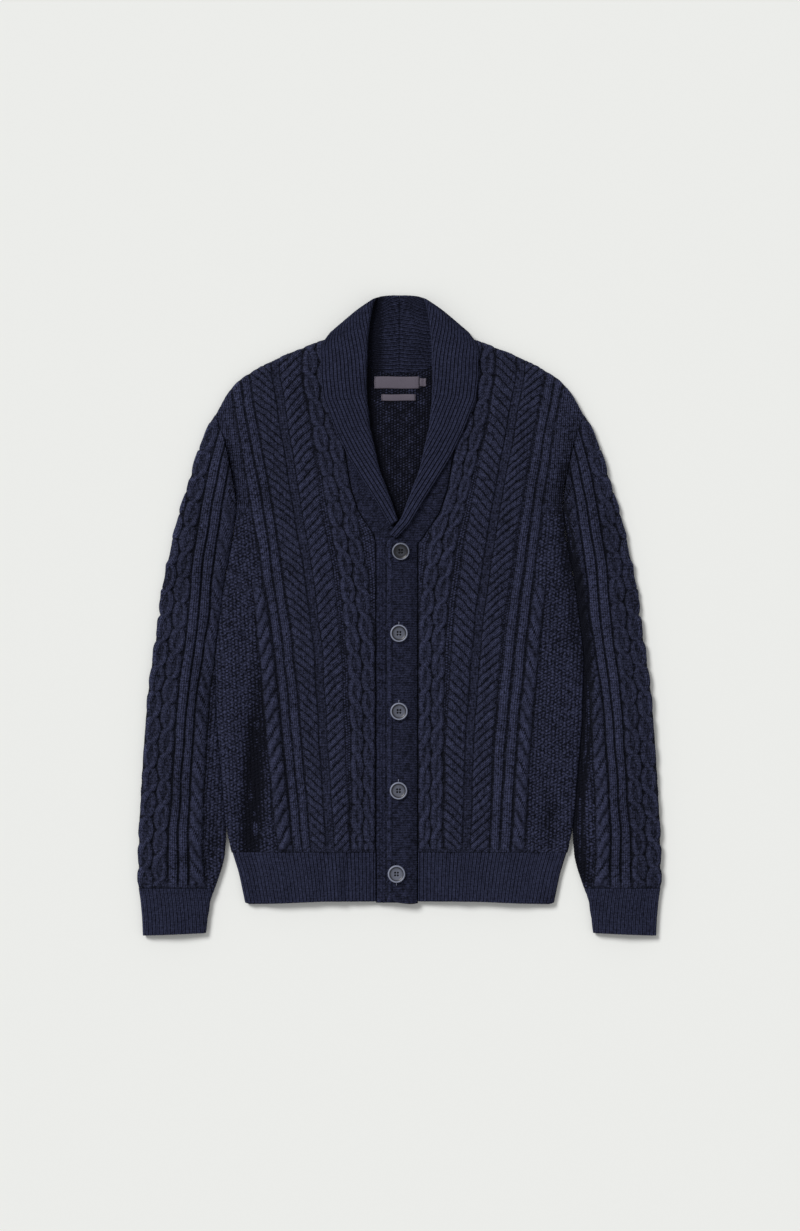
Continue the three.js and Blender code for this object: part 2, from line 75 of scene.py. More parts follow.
def halfWidth(y):
    return np.interp(y, *sideLine)


def neckX(y, bandX):
    x = np.interp(y, *neckLine)
    ease = smooth(y, body["neckY"][0], body["neckY"][1])
    return np.where(y > body["neckY"][0], bandX + (x - bandX) * ease, bandX)


def smooth(x, low, high):  # 0 below low, 1 above high, eased between
    t = np.clip((np.asarray(x, float) - low) / (high - low), 0, 1)
    return t * t * (3 - 2 * t)


def mix(a, b, t):
    return a + (b - a) * t


def stacked(*parts):  # numbers that belong to one place, as a last axis
    return np.stack(parts, -1)


def joined(*parts):  # columns side by side
    return np.concatenate(parts, 1)


# Distance in plan to the side seam below the armpit and the shoulder, and the way out to it.
def foldDistance(x, y):
    sx, sy = sideLine[1], sideLine[0]
    below = sy <= body["armpitY"]
    lines = [np.stack([sx[below], sy[below]], 1)[::8], np.stack(shoulderLine, 1)[::6]]
    best = np.full(x.shape, 1e9)
    outX, outY = np.zeros(x.shape), np.zeros(x.shape)
    ax = np.abs(x)
    for line in lines:
        for a, b in zip(line[:-1], line[1:]):
            d = b - a
            t = np.clip(((ax - a[0]) * d[0] + (y - a[1]) * d[1]) / (d @ d), 0, 1)
            gx, gy = a[0] + t * d[0] - ax, a[1] + t * d[1] - y
            far = np.hypot(gx, gy)
            near = far < best
            best = np.where(near, far, best)
            outX = np.where(near, gx / (far + 1e-9) * np.sign(x), outX)
            outY = np.where(near, gy / (far + 1e-9), outY)
    return best, outX, outY


def quarter(radius, centre, inside):  # height of a quarter round, `centre` in from the edge
    off = np.clip((centre - inside) / radius, 0, 1)
    return radius * np.sqrt(1 - off * off)


def innerRound(inside):  # how far a cloth's inner face stands from the fold's middle
    return np.where(inside < 3.99, 0.2, quarter(body["foldInner"], body["sideMid"], inside))


# Averages a grid with its neighbours a number of times, to find what lies low around it.
def evened(g, times):
    for _ in range(times):
        p = np.pad(g, 1, mode="edge")
        g = (p[1:-1, 1:-1] * 4 + p[:-2, 1:-1] + p[2:, 1:-1] + p[1:-1, :-2] + p[1:-1, 2:]) / 8
    return g


# Soft troughs and ridges, as listed: each runs from (x0, y0) to (x1, y1), with the width and
# height of its round back. Height is negative for a trough.
def folds(x, y, rows):
    z = np.zeros(np.shape(x))
    for x0, y0, x1, y1, width, height in rows:
        dx, dy = x1 - x0, y1 - y0
        t = ((x - x0) * dx + (y - y0) * dy) / (dx * dx + dy * dy)
        c = np.clip(t, 0, 1)
        far = np.hypot(x - x0 - c * dx, y - y0 - c * dy)
        taper = 0.35 + 0.65 * np.sin(np.pi * np.clip(t, 0, 1))
        z = z + height * taper * np.exp(-(far / width) ** 2)
    return z


# The knit patterns. Each takes x across its lane from the middle and s along it, both in mm, and
# its lane's width, and gives its height, a place on the stitches (column, row) and how purled
# it is. A column of stitches is 3.6 mm wide and a row 3.3 mm tall.
stitch = dict(wide=3.6, tall=3.3)


def onStitches(x, y):  # places counted in stitch columns and rows
    return stacked(x / stitch["wide"], y / stitch["tall"])


def cord(d, r):  # a half round cord of radius r, d from its middle
    return np.sqrt(np.clip(r * r - d * d, 0, None))


# A slow wander about 0, of size 1, that never lines up with the stitches.
def wander(x, y, span, seed=0.0):
    a, b = x / span, y / span
    slow = np.sin(3.1 * a + 1.7 * b + seed) * np.sin(2.3 * b - 1.1 * a + 2 * seed)
    return (slow + 0.5 * np.sin(6.7 * a - 4.9 * b + 3 * seed)
            + 0.5 * np.sin(5.3 * b + 4.1 * a + 5 * seed)) / 1.6


# Two chains of rings side by side, half a ring apart: in each, two cords sway as |sin|^0.6
# about the chain's middle and cross between the rings, which are filled with purl.
def ringBraid(x, s, width):
    ring, radius = 31.5, 4.8
    height, u = np.full(x.shape, 0.2), x / stitch["wide"]
    for side, start in ((-1, 0.0), (1, 0.5)):
        turn = np.pi * (s / ring + start)
        reach = width / 4 - radius * 0.72
        sway = np.sin(turn)
        sway = np.sign(sway) * np.abs(sway) ** 0.6
        lean = 1 / np.sqrt(1 + (reach * np.pi / ring * np.cos(turn)) ** 2)
        middle = x - side * width / 4
        fill = 2.8 * (1 - smooth(np.abs(middle) - reach * np.abs(sway), -1.0, 0.6))
        height = np.maximum(height, fill)
        for hand in (-1, 1):
            d = (middle - hand * reach * sway) * lean
            over = 0.5 * hand * np.cos(turn)
            strand = 0.80 * cord(d, radius) + np.where(np.abs(d) < radius, over, 0)
            u = np.where(strand > height, d / stitch["wide"], u)
            height = np.maximum(height, strand)
    return height, u, s / stitch["tall"], np.where(height < 2.0, 1.0, 0.0)


# Strokes that run from the outside down to a spine of three plain columns, like fish bones.
def herringbone(x, s, width):
    pitch, spine = 11.5, 4.9
    away = np.abs(x) - spine
    climb = away * 1.0 - 0.010 * np.clip(away - 12, 0, None) ** 2
    q = (s - climb) / pitch + 0.09 * wander(x, s, 15, 2.0)
    off = q - np.floor(q) - 0.5
    d = np.abs(off) * 2 * pitch * 0.5 * 0.72
    leaf = 1 + 0.10 * np.cos(2 * np.pi * away / 3.6 + 3 * q) + 0.08 * wander(s, x, 9)
    stroke = (0.9 + 0.70 * cord(d, pitch * 0.36) * leaf) * smooth(away, -1.5, 3)
    column = np.abs(np.sin(np.pi * (x + 1.63) / 3.27)) ** 0.8
    middle = (1.2 + 1.1 * column) * (1 - smooth(np.abs(x), spine - 0.9, spine + 0.6))
    onSpine = np.abs(x) < spine
    u = np.where(onSpine, x / 3.27 + 0.5, off * 2.2)
    v = np.where(onSpine, s / stitch["tall"], away * 1.4 / stitch["tall"])
    return np.maximum(stroke, middle), u, v, np.zeros(x.shape)


# A narrow round cord of two columns with a slight twist.
def narrowRope(x, s, width):
    turn = s / 8.6 + x / width * 1.1 + 0.2 * np.sin(s / 23)
    wave = np.abs(np.sin(np.pi * turn)) ** 0.8
    height = 0.8 + 0.42 * cord(x, width * 0.56) * (0.66 + 0.34 * wave)
    return height, x / width * 2, s / stitch["tall"], np.zeros(x.shape)


# A rope of two fat strands: lobes that cross on a slant every 21 mm.
def wideRope(x, s, width):
    t = x / width
    turn = s / 21.0 + 0.95 * t + 0.12 * np.sin(2 * np.pi * t)
    lobe = np.abs(np.sin(np.pi * turn)) ** 0.75
    height = 0.60 * cord(x, width * 0.54) * (0.40 + 0.60 * lobe)
    u = x / stitch["wide"] + 0.5 * np.sin(np.pi * turn)
    return height, u, s / stitch["tall"], np.zeros(x.shape)


# Moss stitch: small grains, each in the gap of the next column's.
def moss(x, s, width):
    grain = np.cos(np.pi * x / 2.3) * np.cos(np.pi * s / 2.1)
    stray = 0.16 * wander(x, s, 7), 0.16 * wander(s, x, 6, 1.0)
    return 1.5 + 0.5 * grain, x / 4.6 + stray[0], s / 4.2 + stray[1], np.ones(x.shape)


# Plain columns standing up between purled ones.
def ribStrip(x, s, width, pitch=4.9):
    column = np.abs(np.cos(np.pi * x / pitch)) ** 0.8
    return 0.9 + 0.9 * column, x / pitch + 0.5, s / stitch["tall"], np.zeros(x.shape)


def ditch(x, s, width):
    return np.full(x.shape, 1.3), x / 3.4, s / 3.4, np.ones(x.shape)


# Puts the patterns in lanes: `across` is the place across the panel, and each lane has its
# pattern, its two edges, and how sharply it drops to them.
def layLanes(across, s, lanes):
    out = [np.zeros(across.shape) for _ in range(4)]
    for pattern, start, end, rounding in lanes:
        start, end = np.broadcast_to(start, across.shape), np.broadcast_to(end, across.shape)
        inside = (across >= start) & (across < end)
        if not inside.any():
            continue
        width = (end - start)[inside]
        x = (across - (start + end) / 2)[inside]
        parts = pattern(x, s[inside], width)
        edge = (1 - np.abs(np.clip(2 * x / width, -1, 1)) ** rounding) ** 0.5
        for k, part in enumerate(parts):
            out[k][inside] = np.maximum(part * edge, 1.0) if k == 0 else part
    return out


# Faces between closed rings of `around` points, one ring every `stride` points from `first`.
def ringQuads(rows, around, stride=None, first=0):
    stride = stride or around
    i, j = np.arange(rows - 1)[:, None] * stride, np.arange(around)[None, :]
    j, nextJ = first + j, first + (j + 1) % around
    return stacked(i + j, i + nextJ, i + stride + nextJ, i + stride + j).reshape(-1, 4)


def ringEnds(rows, around):  # the faces that close the first ring and the last
    return [list(range(around))[::-1], list(range((rows - 1) * around, rows * around))]


# The mesh of a cloth shell. Each row of points is a closed loop round the cloth: `fine` columns
# on its face, then coarse ones on its back, which stand under every `every`-th fine one. The
# ends are closed by strips between the face and the back.
def addShell(name, points, fine, every, values):
    count, around = points.shape[:2]
    ends = []
    for k in range(around - fine - 1):
        high = fine - 1 - every * k
        low = max(high - every, 0)
        strip = list(range(low, high + 1)) + [fine + k, fine + k + 1]
        ends.append(strip[::-1])
        ends.append([(count - 1) * around + q for q in strip])
    return addMesh(name, points, ringQuads(count, around), ends, values)


def addObject(name, data):
    thing = bpy.data.objects.new(name, data)
    bpy.context.scene.collection.objects.link(thing)
    return thing


# A mesh of quads and end faces, turned outwards by the sign of its volume, with its own map
# ("stitches") and its point values.
def addMesh(name, points, quads, ends, values):
    verts = (points * mm).reshape(-1, 3)
    corners = np.concatenate([quads.reshape(-1), *[np.array(e) for e in ends]]).astype(np.int32)
    sizes = np.concatenate([np.full(len(quads), 4), [len(e) for e in ends]]).astype(np.int32)
    starts = np.concatenate([[0], np.cumsum(sizes)[:-1]]).astype(np.int32)
    a, b, c, d = (verts[quads[:, k]] for k in range(4))
    volume = (a * np.cross(b, c)).sum() + (a * np.cross(c, d)).sum()
    mesh = bpy.data.meshes.new(name)
    mesh.vertices.add(len(verts))
    mesh.vertices.foreach_set("co", verts.astype(np.float32).reshape(-1))
    mesh.loops.add(len(corners))
    mesh.loops.foreach_set("vertex_index", corners)
    mesh.polygons.add(len(sizes))
    mesh.polygons.foreach_set("loop_start", starts)
    mesh.polygons.foreach_set("use_smooth", np.ones(len(sizes), bool))
    mesh.update(calc_edges=True)
    for key, value in values.items():
        if key == "stitches":
            value = value.reshape(-1, 2)[corners]
            layer, entry = mesh.uv_layers.new(name=key), "uv"
        else:
            layer, entry = mesh.attributes.new(key, "FLOAT", "POINT"), "value"
        layer.data.foreach_set(entry, value.astype(np.float32).reshape(-1))
    if volume < 0:
        mesh.flip_normals()
    mesh.validate()
    return addObject(name, mesh)


def pad(g, columns, fill):  # adds columns of one value, for the cloth's back
    return joined(g, np.full((len(g), columns), fill))


def finishPiece(piece, slot, material, *nodes):
    piece.data.materials.append(material)
    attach(piece, "root")
    if nodes:
        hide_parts(*nodes)
    return piece


def linear(hexColour):  # sRGB hex to linear light
    value = np.array([int(hexColour[k:k + 2], 16) / 255 for k in (1, 3, 5)])
    value = np.where(value <= 0.04045, value / 12.92, ((value + 0.055) / 1.055) ** 2.4)
    return (*value, 1.0)


def addNode(tree, kind, settings=None, inputs=None):
    node = tree.nodes.new("ShaderNode" + kind)
    for key, value in (settings or {}).items():
        setattr(node, key, value)
    for key, value in (inputs or {}).items():
        if isinstance(value, bpy.types.NodeSocket):
            tree.links.new(value, node.inputs[key])
        else:
            node.inputs[key].default_value = value
    return node


def newMaterial(name):
    material = bpy.data.materials.new(name)
    material.use_nodes = True
    material.node_tree.nodes.clear()
    return material, material.node_tree


# How a stitch is worked out from its place on the map and the piece's own values: the result's
# name, what is done, and to what. The V has two legs, a ridge one, and a purl is a grain. Its height, with
# the flecks, tufts and patches, becomes the colour's tone, so the stitch's relief is painted as light and
# shade.
woolSteps = [
    ("cell", "FRACT", "column"), ("fromMiddle", "SUBTRACT", "cell", 0.5),
    ("off", "ABSOLUTE", "fromMiddle"),
    ("fromLeg", "SUBTRACT", "off", 0.25), ("legAway", "ABSOLUTE", "fromLeg"),
    ("legFall", "MULTIPLY", "legAway", 3.6), ("twoLegs", "SUBTRACT", 1.0, "legFall"),
    ("across", "MULTIPLY", "off", 2.0), ("ridgeFall", "POWER", "across", 1.6),
    ("oneRidge", "SUBTRACT", 1.0, "ridgeFall"), ("leg", "MIX", "ridge", "twoLegs", "oneRidge"),
    ("tilt", "MULTIPLY", "off", 0.75), ("tilted", "SUBTRACT", "row", "tilt"),
    ("slant", "FRACT", "tilted"), ("loopTurn", "MULTIPLY", "slant", np.pi),
    ("loop", "SINE", "loopTurn"), ("rows", "MULTIPLY_ADD", "loop", "rowDepth", "rowFloor"),
    ("vee", "MULTIPLY", "leg", "rows"),
    ("whole", "FLOOR", "column"), ("shifted", "MULTIPLY_ADD", "whole", 0.5, "row"),
    ("turnX", "MULTIPLY", "cell", np.pi), ("grainX", "SINE", "turnX"),
    ("turnY", "MULTIPLY", "shifted", np.pi), ("swingY", "SINE", "turnY"),
    ("grainY", "ABSOLUTE", "swingY"), ("grains", "MULTIPLY", "grainX", "grainY"),
    ("grain", "MULTIPLY_ADD", "grains", 0.8, -0.06), ("height", "MIX", "purl", "vee", "grain"),
    ("raised", "ADD", "height", 1.2), ("fleckOff", "SUBTRACT", "fleck", 0.5),
    ("flecked", "MULTIPLY_ADD", "fleckOff", "flecks", "raised"),
    ("tuftOff", "SUBTRACT", "tuft", 0.5),
    ("tufted", "MULTIPLY_ADD", "tuftOff", "tufts", "flecked"),
    ("patched", "MULTIPLY_ADD", "patch", 0.40, "tufted"),
    # painted shade and painted light from the piece's point value
    ("light", "MULTIPLY_ADD", "paintedShading", 0.9, "patched"),
    ("tuftNap", "MULTIPLY_ADD", "tuft", 0.9, "height"), ("nap", "MULTIPLY_ADD", "fleck", 1.2, "tuftNap")]


# Worsted wool, plied and knitted by machine: matt and dark, each stitch a V of two legs with painted shade
# in the gap between, lighter flecks in the yarn, and a soft nap that lifts the edges.
# The piece's own map counts stitches; `purl` changes the V for a grain. The stitch's height also sets its
# colour, as painted light on the legs and painted shade between them, and a point value of each piece adds
# painted shade where the cloth lies low and painted light where it stands high.
def knittedWool(name, yarn, gap, rowDepth, flecks, bumpDepth=2.0):
    material, tree = newMaterial(name)
    stitches = addNode(tree, "UVMap", dict(uv_map="stitches")).outputs[0]
    apart = addNode(tree, "SeparateXYZ", None, {0: stitches})
    where = addNode(tree, "TexCoord").outputs["Object"]
    made = dict(column=apart.outputs[0], row=apart.outputs[1],
                rowDepth=rowDepth, rowFloor=1.0 - rowDepth, flecks=flecks, tufts=0.66 * flecks)
    for key in ("ridge", "purl", "paintedShading"):
        made[key] = addNode(tree, "Attribute", dict(attribute_name=key)).outputs["Fac"]
    # flecks every 2.3 mm, tufts every 3.7 mm and broad patches every 26 mm
    for key, scale, detail, roughness in (("fleck", 430.0, 3.0, 0.7), ("patch", 38.0, 2.0, 0.5),
                                          ("tuft", 270.0, 1.5, 0.6)):
        made[key] = addNode(tree, "TexNoise", None, {
            "Vector": where, "Scale": scale, "Detail": detail, "Roughness": roughness}).outputs[0]
    for result, operation, *values in woolSteps:
        values = [made[v] if isinstance(v, str) else v for v in values]
        if operation == "MIX":
            node = addNode(tree, "Mix", dict(data_type="FLOAT"), dict(zip((0, 2, 3), values)))
        else:
            node = addNode(tree, "Math", dict(operation=operation), dict(enumerate(values)))
        made[result] = node.outputs[0]
    # the colour runs from the painted-shade colour `gap` to the yarn's, by stitch height and painted
    # shading
    tone = addNode(tree, "MapRange", None,
                   {0: made["light"], 1: 1.2, 2: 2.75, 3: 0.0, 4: 1.0}).outputs[0]
    colour = addNode(tree, "Mix", dict(data_type="RGBA"),
                     {0: tone, 6: linear(gap), 7: linear(yarn)}).outputs[2]
    bump = addNode(tree, "Bump", None,
                   {"Strength": 1.0, "Distance": bumpDepth * mm, "Height": made["nap"]}).outputs[0]
    shader = addNode(tree, "BsdfPrincipled", None, {
        "Base Color": colour, "Normal": bump, "Roughness": 0.95, "IOR": 1.45,
        "Specular IOR Level": 0.08, "Sheen Weight": 0.06, "Sheen Roughness": 0.5,
        "Sheen Tint": linear("#8088a8")})
    addNode(tree, "OutputMaterial", None, {0: shader.outputs[0]})
    return material


# the second colour of each wool is the painted shade in the gaps between stitches
cableWool = knittedWool("worsted_wool_cable_knit", "#474b69", "#0f1019", 0.7, 2.8)
ribWool = knittedWool("worsted_wool_rib_knit", "#3b3f5a", "#12131f", 0.4, 2.0, 1.6)
bandWool = knittedWool("worsted_wool_sideways_knit", "#3f4360", "#11121d", 0.7, 3.0, 1.8)
print("wool made")

# Lanes of the fronts, hem to shoulder, as distances from the garment's middle: where each
# pattern ends, going outwards.
laneEnds = dict(
    right=dict(y=[-296, -156, -43.8, 60, 127.5, 223.8, 300],
               braid=[60.5, 60.5, 66, 76, 90, 107.5, 121],
               ditch=[61.5, 67.8, 71, 83, 96.5, 109, 122],
               herringbone=[109.6, 121.8, 131.5, 146, 156, 174, 187],
               gapA=[110.4, 123.2, 133, 148, 157.4, 175.6, 188.5],
               ropeA=[119.8, 133.6, 143.4, 158.6, 167.4, 186.4, 198],
               gapB=[121, 134.8, 145, 160, 169, 188.4, 200],
               ropeB=[131.6, 144.6, 154.8, 171, 183.6, 199, 211],
               gapC=[132.6, 146.6, 156.4, 173, 185, 200.6, 213],
               wide=[152, 165.8, 175, 186.5, 197.5, 214, 226]),
    left=dict(y=[-296, -156, -6.3, 87.5, 150, 223.8, 300],
              braid=[53.5, 55, 58.5, 70.8, 86, 105, 119],
              ditch=[55, 57, 67.5, 80.4, 92, 107, 120],
              herringbone=[111.6, 116.8, 129.6, 144.4, 154, 166.8, 181],
              gapA=[113.6, 119, 134.8, 148, 157.5, 170, 184],
              ropeA=[123.4, 131.6, 146, 158.6, 168, 180, 194],
              gapB=[125.2, 134, 149, 161.4, 170, 181.4, 196],
              ropeB=[137.2, 145.8, 160.2, 171.6, 180, 190.6, 205],
              gapC=[139, 146.9, 161.8, 173, 182, 192.6, 207],
              wide=[155.8, 163.4, 177.6, 188.8, 197, 208, 222]))


def tableAt(table, y, reach, step=1.0):  # every column of a table at heights y, eased
    return {key: np.interp(y, *easedLine(table["y"], table[key], reach, step))
            for key in table if key != "y"}


# Height and stitches of a front at places (x, y): its lanes between the band and the side.
def frontKnit(side, bandX, x, y):
    at = tableAt(laneEnds[side], y, 40, 2)
    across, s = np.abs(x) + 0.7 * wander(x, y, 60, len(side)), y + 0.8 * wander(x, y, 45, 2.0)
    seam = neckX(y, abs(bandX)) + 0.6
    inner = np.maximum(seam, at["braid"] - 36 - 8 * smooth(y, 110, 200))
    inner = np.minimum(inner, at["braid"] - 20)
    far = np.full(y.shape, 400.0)
    lanes = [(ditch, seam, np.maximum(inner, seam), 8),
             (ringBraid, inner, at["braid"], 8),
             (ditch, at["braid"], at["ditch"], 8),
             (herringbone, at["ditch"], at["herringbone"], 10),
             (ditch, at["herringbone"], at["gapA"], 8),
             (narrowRope, at["gapA"], at["ropeA"], 6),
             (ditch, at["ropeA"], at["gapB"], 8),
             (narrowRope, at["gapB"], at["ropeB"], 6),
             (ditch, at["ropeB"], at["gapC"], 8),
             (wideRope, at["gapC"], at["wide"], 6),
             (moss, at["wide"], far, 60)]
    low = layLanes(across, s, lanes)
    middle = layLanes(across, s, [(moss, at["gapC"], far, 60)])
    high = layLanes(across, s, [(ribStrip, at["gapC"], far, 60)])
    # further up, the wide rope gives way to moss and that to plain columns
    beside = across > at["gapC"]
    for share, part in ((smooth(y + 6 * wander(x, y, 12), 18, 52) * beside, middle),
                        (smooth(y + 5 * wander(x, y, 9), 108, 142) * beside, high)):
        low[0] = mix(low[0], part[0], share)
        low[1:] = [np.where(share > 0.5, b, a) for a, b in zip(low[1:], part[1:])]
    height, u, v, purl = low
    height = height + 0.3 * wander(x, y, 16, 4.0)
    return mix(1.7, height, smooth(y, body["hemY"], body["hemY"] + 8)), u, v, purl


front = dict(rows=470, columns=169, every=12, drop=2.2, sideRound=9.0)
frontFolds = dict(
    right=[(-176, -70, -180, -270, 10, -2.6), (-182, -140, -188, -400, 13, -4.8),
           (-150, -130, -156, -292, 10, 1.2), (-207, -50, -209, -290, 12, 3.0),
           (-75, -230, -66, -296, 12, 1.0), (-205, 20, -214, -60, 10, 1.2),
           (-120, 60, -150, -60, 22, 0.9), (-186, 130, -205, 60, 10, 1.5),
           (-196, 110, -150, 190, 20, -0.6), (-217, 236, -203, 140, 5, -1.6)],
    left=[(196, -60, 200, -220, 14, 1.6), (190, 96, 204, 10, 12, 1.2),
          (150, -60, 160, -250, 16, 1.0), (120, 80, 150, -40, 24, 0.9),
          (202, 112, 150, 196, 20, -0.5), (70, -200, 64, -290, 12, 0.9),
          (219, 240, 203, 140, 7, -2.0), (204, 185, 209, 40, 8, -2.8), (209, 80, 226, -70, 8, -2.2),
          (190, -210, 186, -300, 9, -1.4)])


# The front layer's level under its stitches: the fold round the side and shoulder is a quarter
# round, and from there it swells softly to the middle of the panel.
def frontLevel(x, y, rounding):
    inside, outX, outY = foldDistance(x, y)
    underCollar = smooth(y, 90, 230)
    rise = body["loft"] * smooth(inside, 4, 46)
    rise = rise * smooth(np.abs(x), mix(24, 100, underCollar), mix(70, 150, underCollar))
    onSide = smooth(130 - y, 0, 30) * smooth(np.abs(x), 150, 190)
    wide = mix(body["sideMid"], rounding, onSide)
    off = np.clip(1 - inside / wide, 0, 1)
    level = body["sideMid"] + body["foldOuter"] * np.sqrt(1 - off * off) + rise
    lean = off ** 2
    return level, inside, outX * lean, outY * lean


def panelRows(count):  # close rows where a panel turns over at the shoulder
    turned = 1 - np.array([6, 4.5, 3, 1.8, 0.8, 0.25, 0]) / 1000
    return np.concatenate([np.linspace(0, 0.9925, count - 7), turned])


def buildFront(name, side, bandX):
    sign = -1 if side == "right" else 1
    n, fine = front["rows"], front["columns"]
    v = panelRows(n)[:, None]
    t = np.linspace(0, 1, fine)[None, :]
    innerY, outerY = mix(body["hemY"], body["neckTop"], v), mix(body["hemY"], body["tipY"], v)
    inner, outer = neckX(innerY, abs(bandX)) + 0.3, halfWidth(outerY) - 0.1
    across = mix(inner, outer, t)
    topY = np.interp(mix(body["neckSide"], body["tipX"], t), *shoulderLine)
    x, y = sign * across, mix(body["hemY"], topY, v) + 0 * across
    level, inside, leanX, leanY = frontLevel(x, y, front["sideRound"])
    height, u, w, purl = frontKnit(side, bandX, x, y)
    relief = (height - front["drop"]) * (0.35 + 0.65 * smooth(inside, 0, 6))
    creases = folds(x, y, frontFolds[side])
    z = level + relief * (1 - np.hypot(leanX, leanY) * 0.6) + creases
    push = np.maximum(relief + 1.6, 0)
    over = z - body["sideMid"] - 1.2  # a deep trough rounds off on the back beneath
    face = stacked(x + leanX * push * 0.9, y + leanY * push * 0.9,
                   z - over + 0.5 * (over + np.sqrt(over * over + 1.2)))
    k = np.arange(fine - 1, -1, -front["every"])
    backInside = inside[:, k]
    low = body["sideMid"] + innerRound(backInside)
    low = low + body["loft"] * smooth(backInside, 4, 46) * 0.9 * smooth(across[:, k], 100, 150)
    back = stacked(x[:, k], y[:, k], np.minimum(low, face[:, k, 2] - 0.6))
    # painted shade in low places and creases, painted light on high ones
    paintedShading = height - evened(height, 40) + 0.55 * np.minimum(creases, 0)
    stitches = joined(stacked(u, w), onStitches(across[:, k], y[:, k]))
    values = dict(stitches=stitches, purl=pad(purl, len(k), 1.0),
                  paintedShading=pad(np.clip(paintedShading / 2.4, -1.5, 1), len(k), 0.0))
    return addShell(name, joined(face, back), fine, front["every"], values)


for side, bandX in bandSeam.items():
    piece = buildFront("front_" + side + "_knit", side, bandX)
    finishPiece(piece, "cable_knit", cableWool, "front_" + side)
print("fronts made")

# The back: its inside shows in the neck, purl side up; its outside lies on the ground.
backSize = dict(rows=215, half=76, relief=0.28, diamondX=27, diamondY=31)


def buildBack():
    n, half = backSize["rows"], backSize["half"]
    v = panelRows(n)[:, None]
    t = np.linspace(-1, 1, 2 * half + 1)[None, :]
    x = (halfWidth(mix(body["hemY"], body["tipY"], v)) - 0.1) * t
    topX = np.abs(t) * body["tipX"]
    neck = 301.6 + 42.4 * np.minimum(topX / body["neckSide"], 1) ** 2.2
    topY = np.where(topX > body["neckSide"], np.interp(topX, *shoulderLine), neck)
    y = mix(body["hemY"], topY, v) + 0 * x
    inside = foldDistance(x, y)[0]
    nearNeck = smooth(y, 60, 110) * (1 - smooth(np.abs(x), 62, 80))
    across, along = x / backSize["diamondX"], y / backSize["diamondY"]
    diamond = np.abs(np.sin(np.pi * (across + along)) * np.sin(np.pi * (across - along))) ** 0.6 - 0.55
    purlRow = (np.cos(np.pi * y / stitch["tall"]) * 0.15 + 0.5 * diamond) * nearNeck
    high = body["sideMid"] - innerRound(inside) + purlRow
    low = body["sideMid"] - quarter(body["foldOuter"], body["sideMid"], inside)
    knitX = np.sign(x) * np.maximum(np.abs(x), 24)
    height = frontKnit("right", -24.0, -np.abs(knitX), y)[0]
    low = low + (4.4 - np.clip(height, 0, 4.4)) * backSize["relief"] * smooth(inside, 3, 9)
    face = stacked(x, y, high)
    under = stacked(x, y, np.minimum(low, high - 0.6))[:, ::-1]
    # painted shade: the inside is darker all over, darker still in the collar roll's painted shadow, most
    # of all on the wearer's right, and shaded along the purl diamonds
    rollX = np.interp(y, [100, 118, 147, 182, 234, 278, 350, 395], [0, 1, 12.5, 25, 37, 41, 39, 27])
    deep = -0.45 - 0.7 * (1 - smooth(x + rollX, 2, 15)) - 0.3 * smooth(x - rollX, -9, -1) + 0.42 * diamond
    flat = onStitches(x, y)
    values = dict(stitches=joined(flat, flat[:, ::-1]),
                  purl=pad(np.ones(x.shape), 2 * half + 1, 0.0), paintedShading=pad(deep, 2 * half + 1, 0.0))
    return addShell("back_knit", joined(face, under), 2 * half + 1, 1, values)


backPiece = finishPiece(buildBack(), "cable_knit", cableWool, "back_panel")
print("back made")

# Ribbed welts below the fronts and the back: columns every 4.8 mm that fan out to the corners.
welt = dict(rows=52, columns=151, every=10, pitch=4.8, height=1.7, half=208.7)
weltFolds = [(-74, -290, -78, -372, 5, 2.2), (-64, -290, -66, -376, 4, -1.8),
             (-90, -286, -98, -360, 7, -1.4), (-186, -260, -174, -370, 9, -3.4),
             (-120, -300, -112, -380, 10, 1.0), (-150, -300, -140, -370, 9, 0.9),
             (74, -290, 80, -372, 6, 1.8), (62, -290, 64, -372, 4, -1.4), (110, -300, 104, -372, 10, -0.9),
             (140, -296, 132, -372, 9, 1.1), (170, -290, 164, -372, 8, -1.6)]


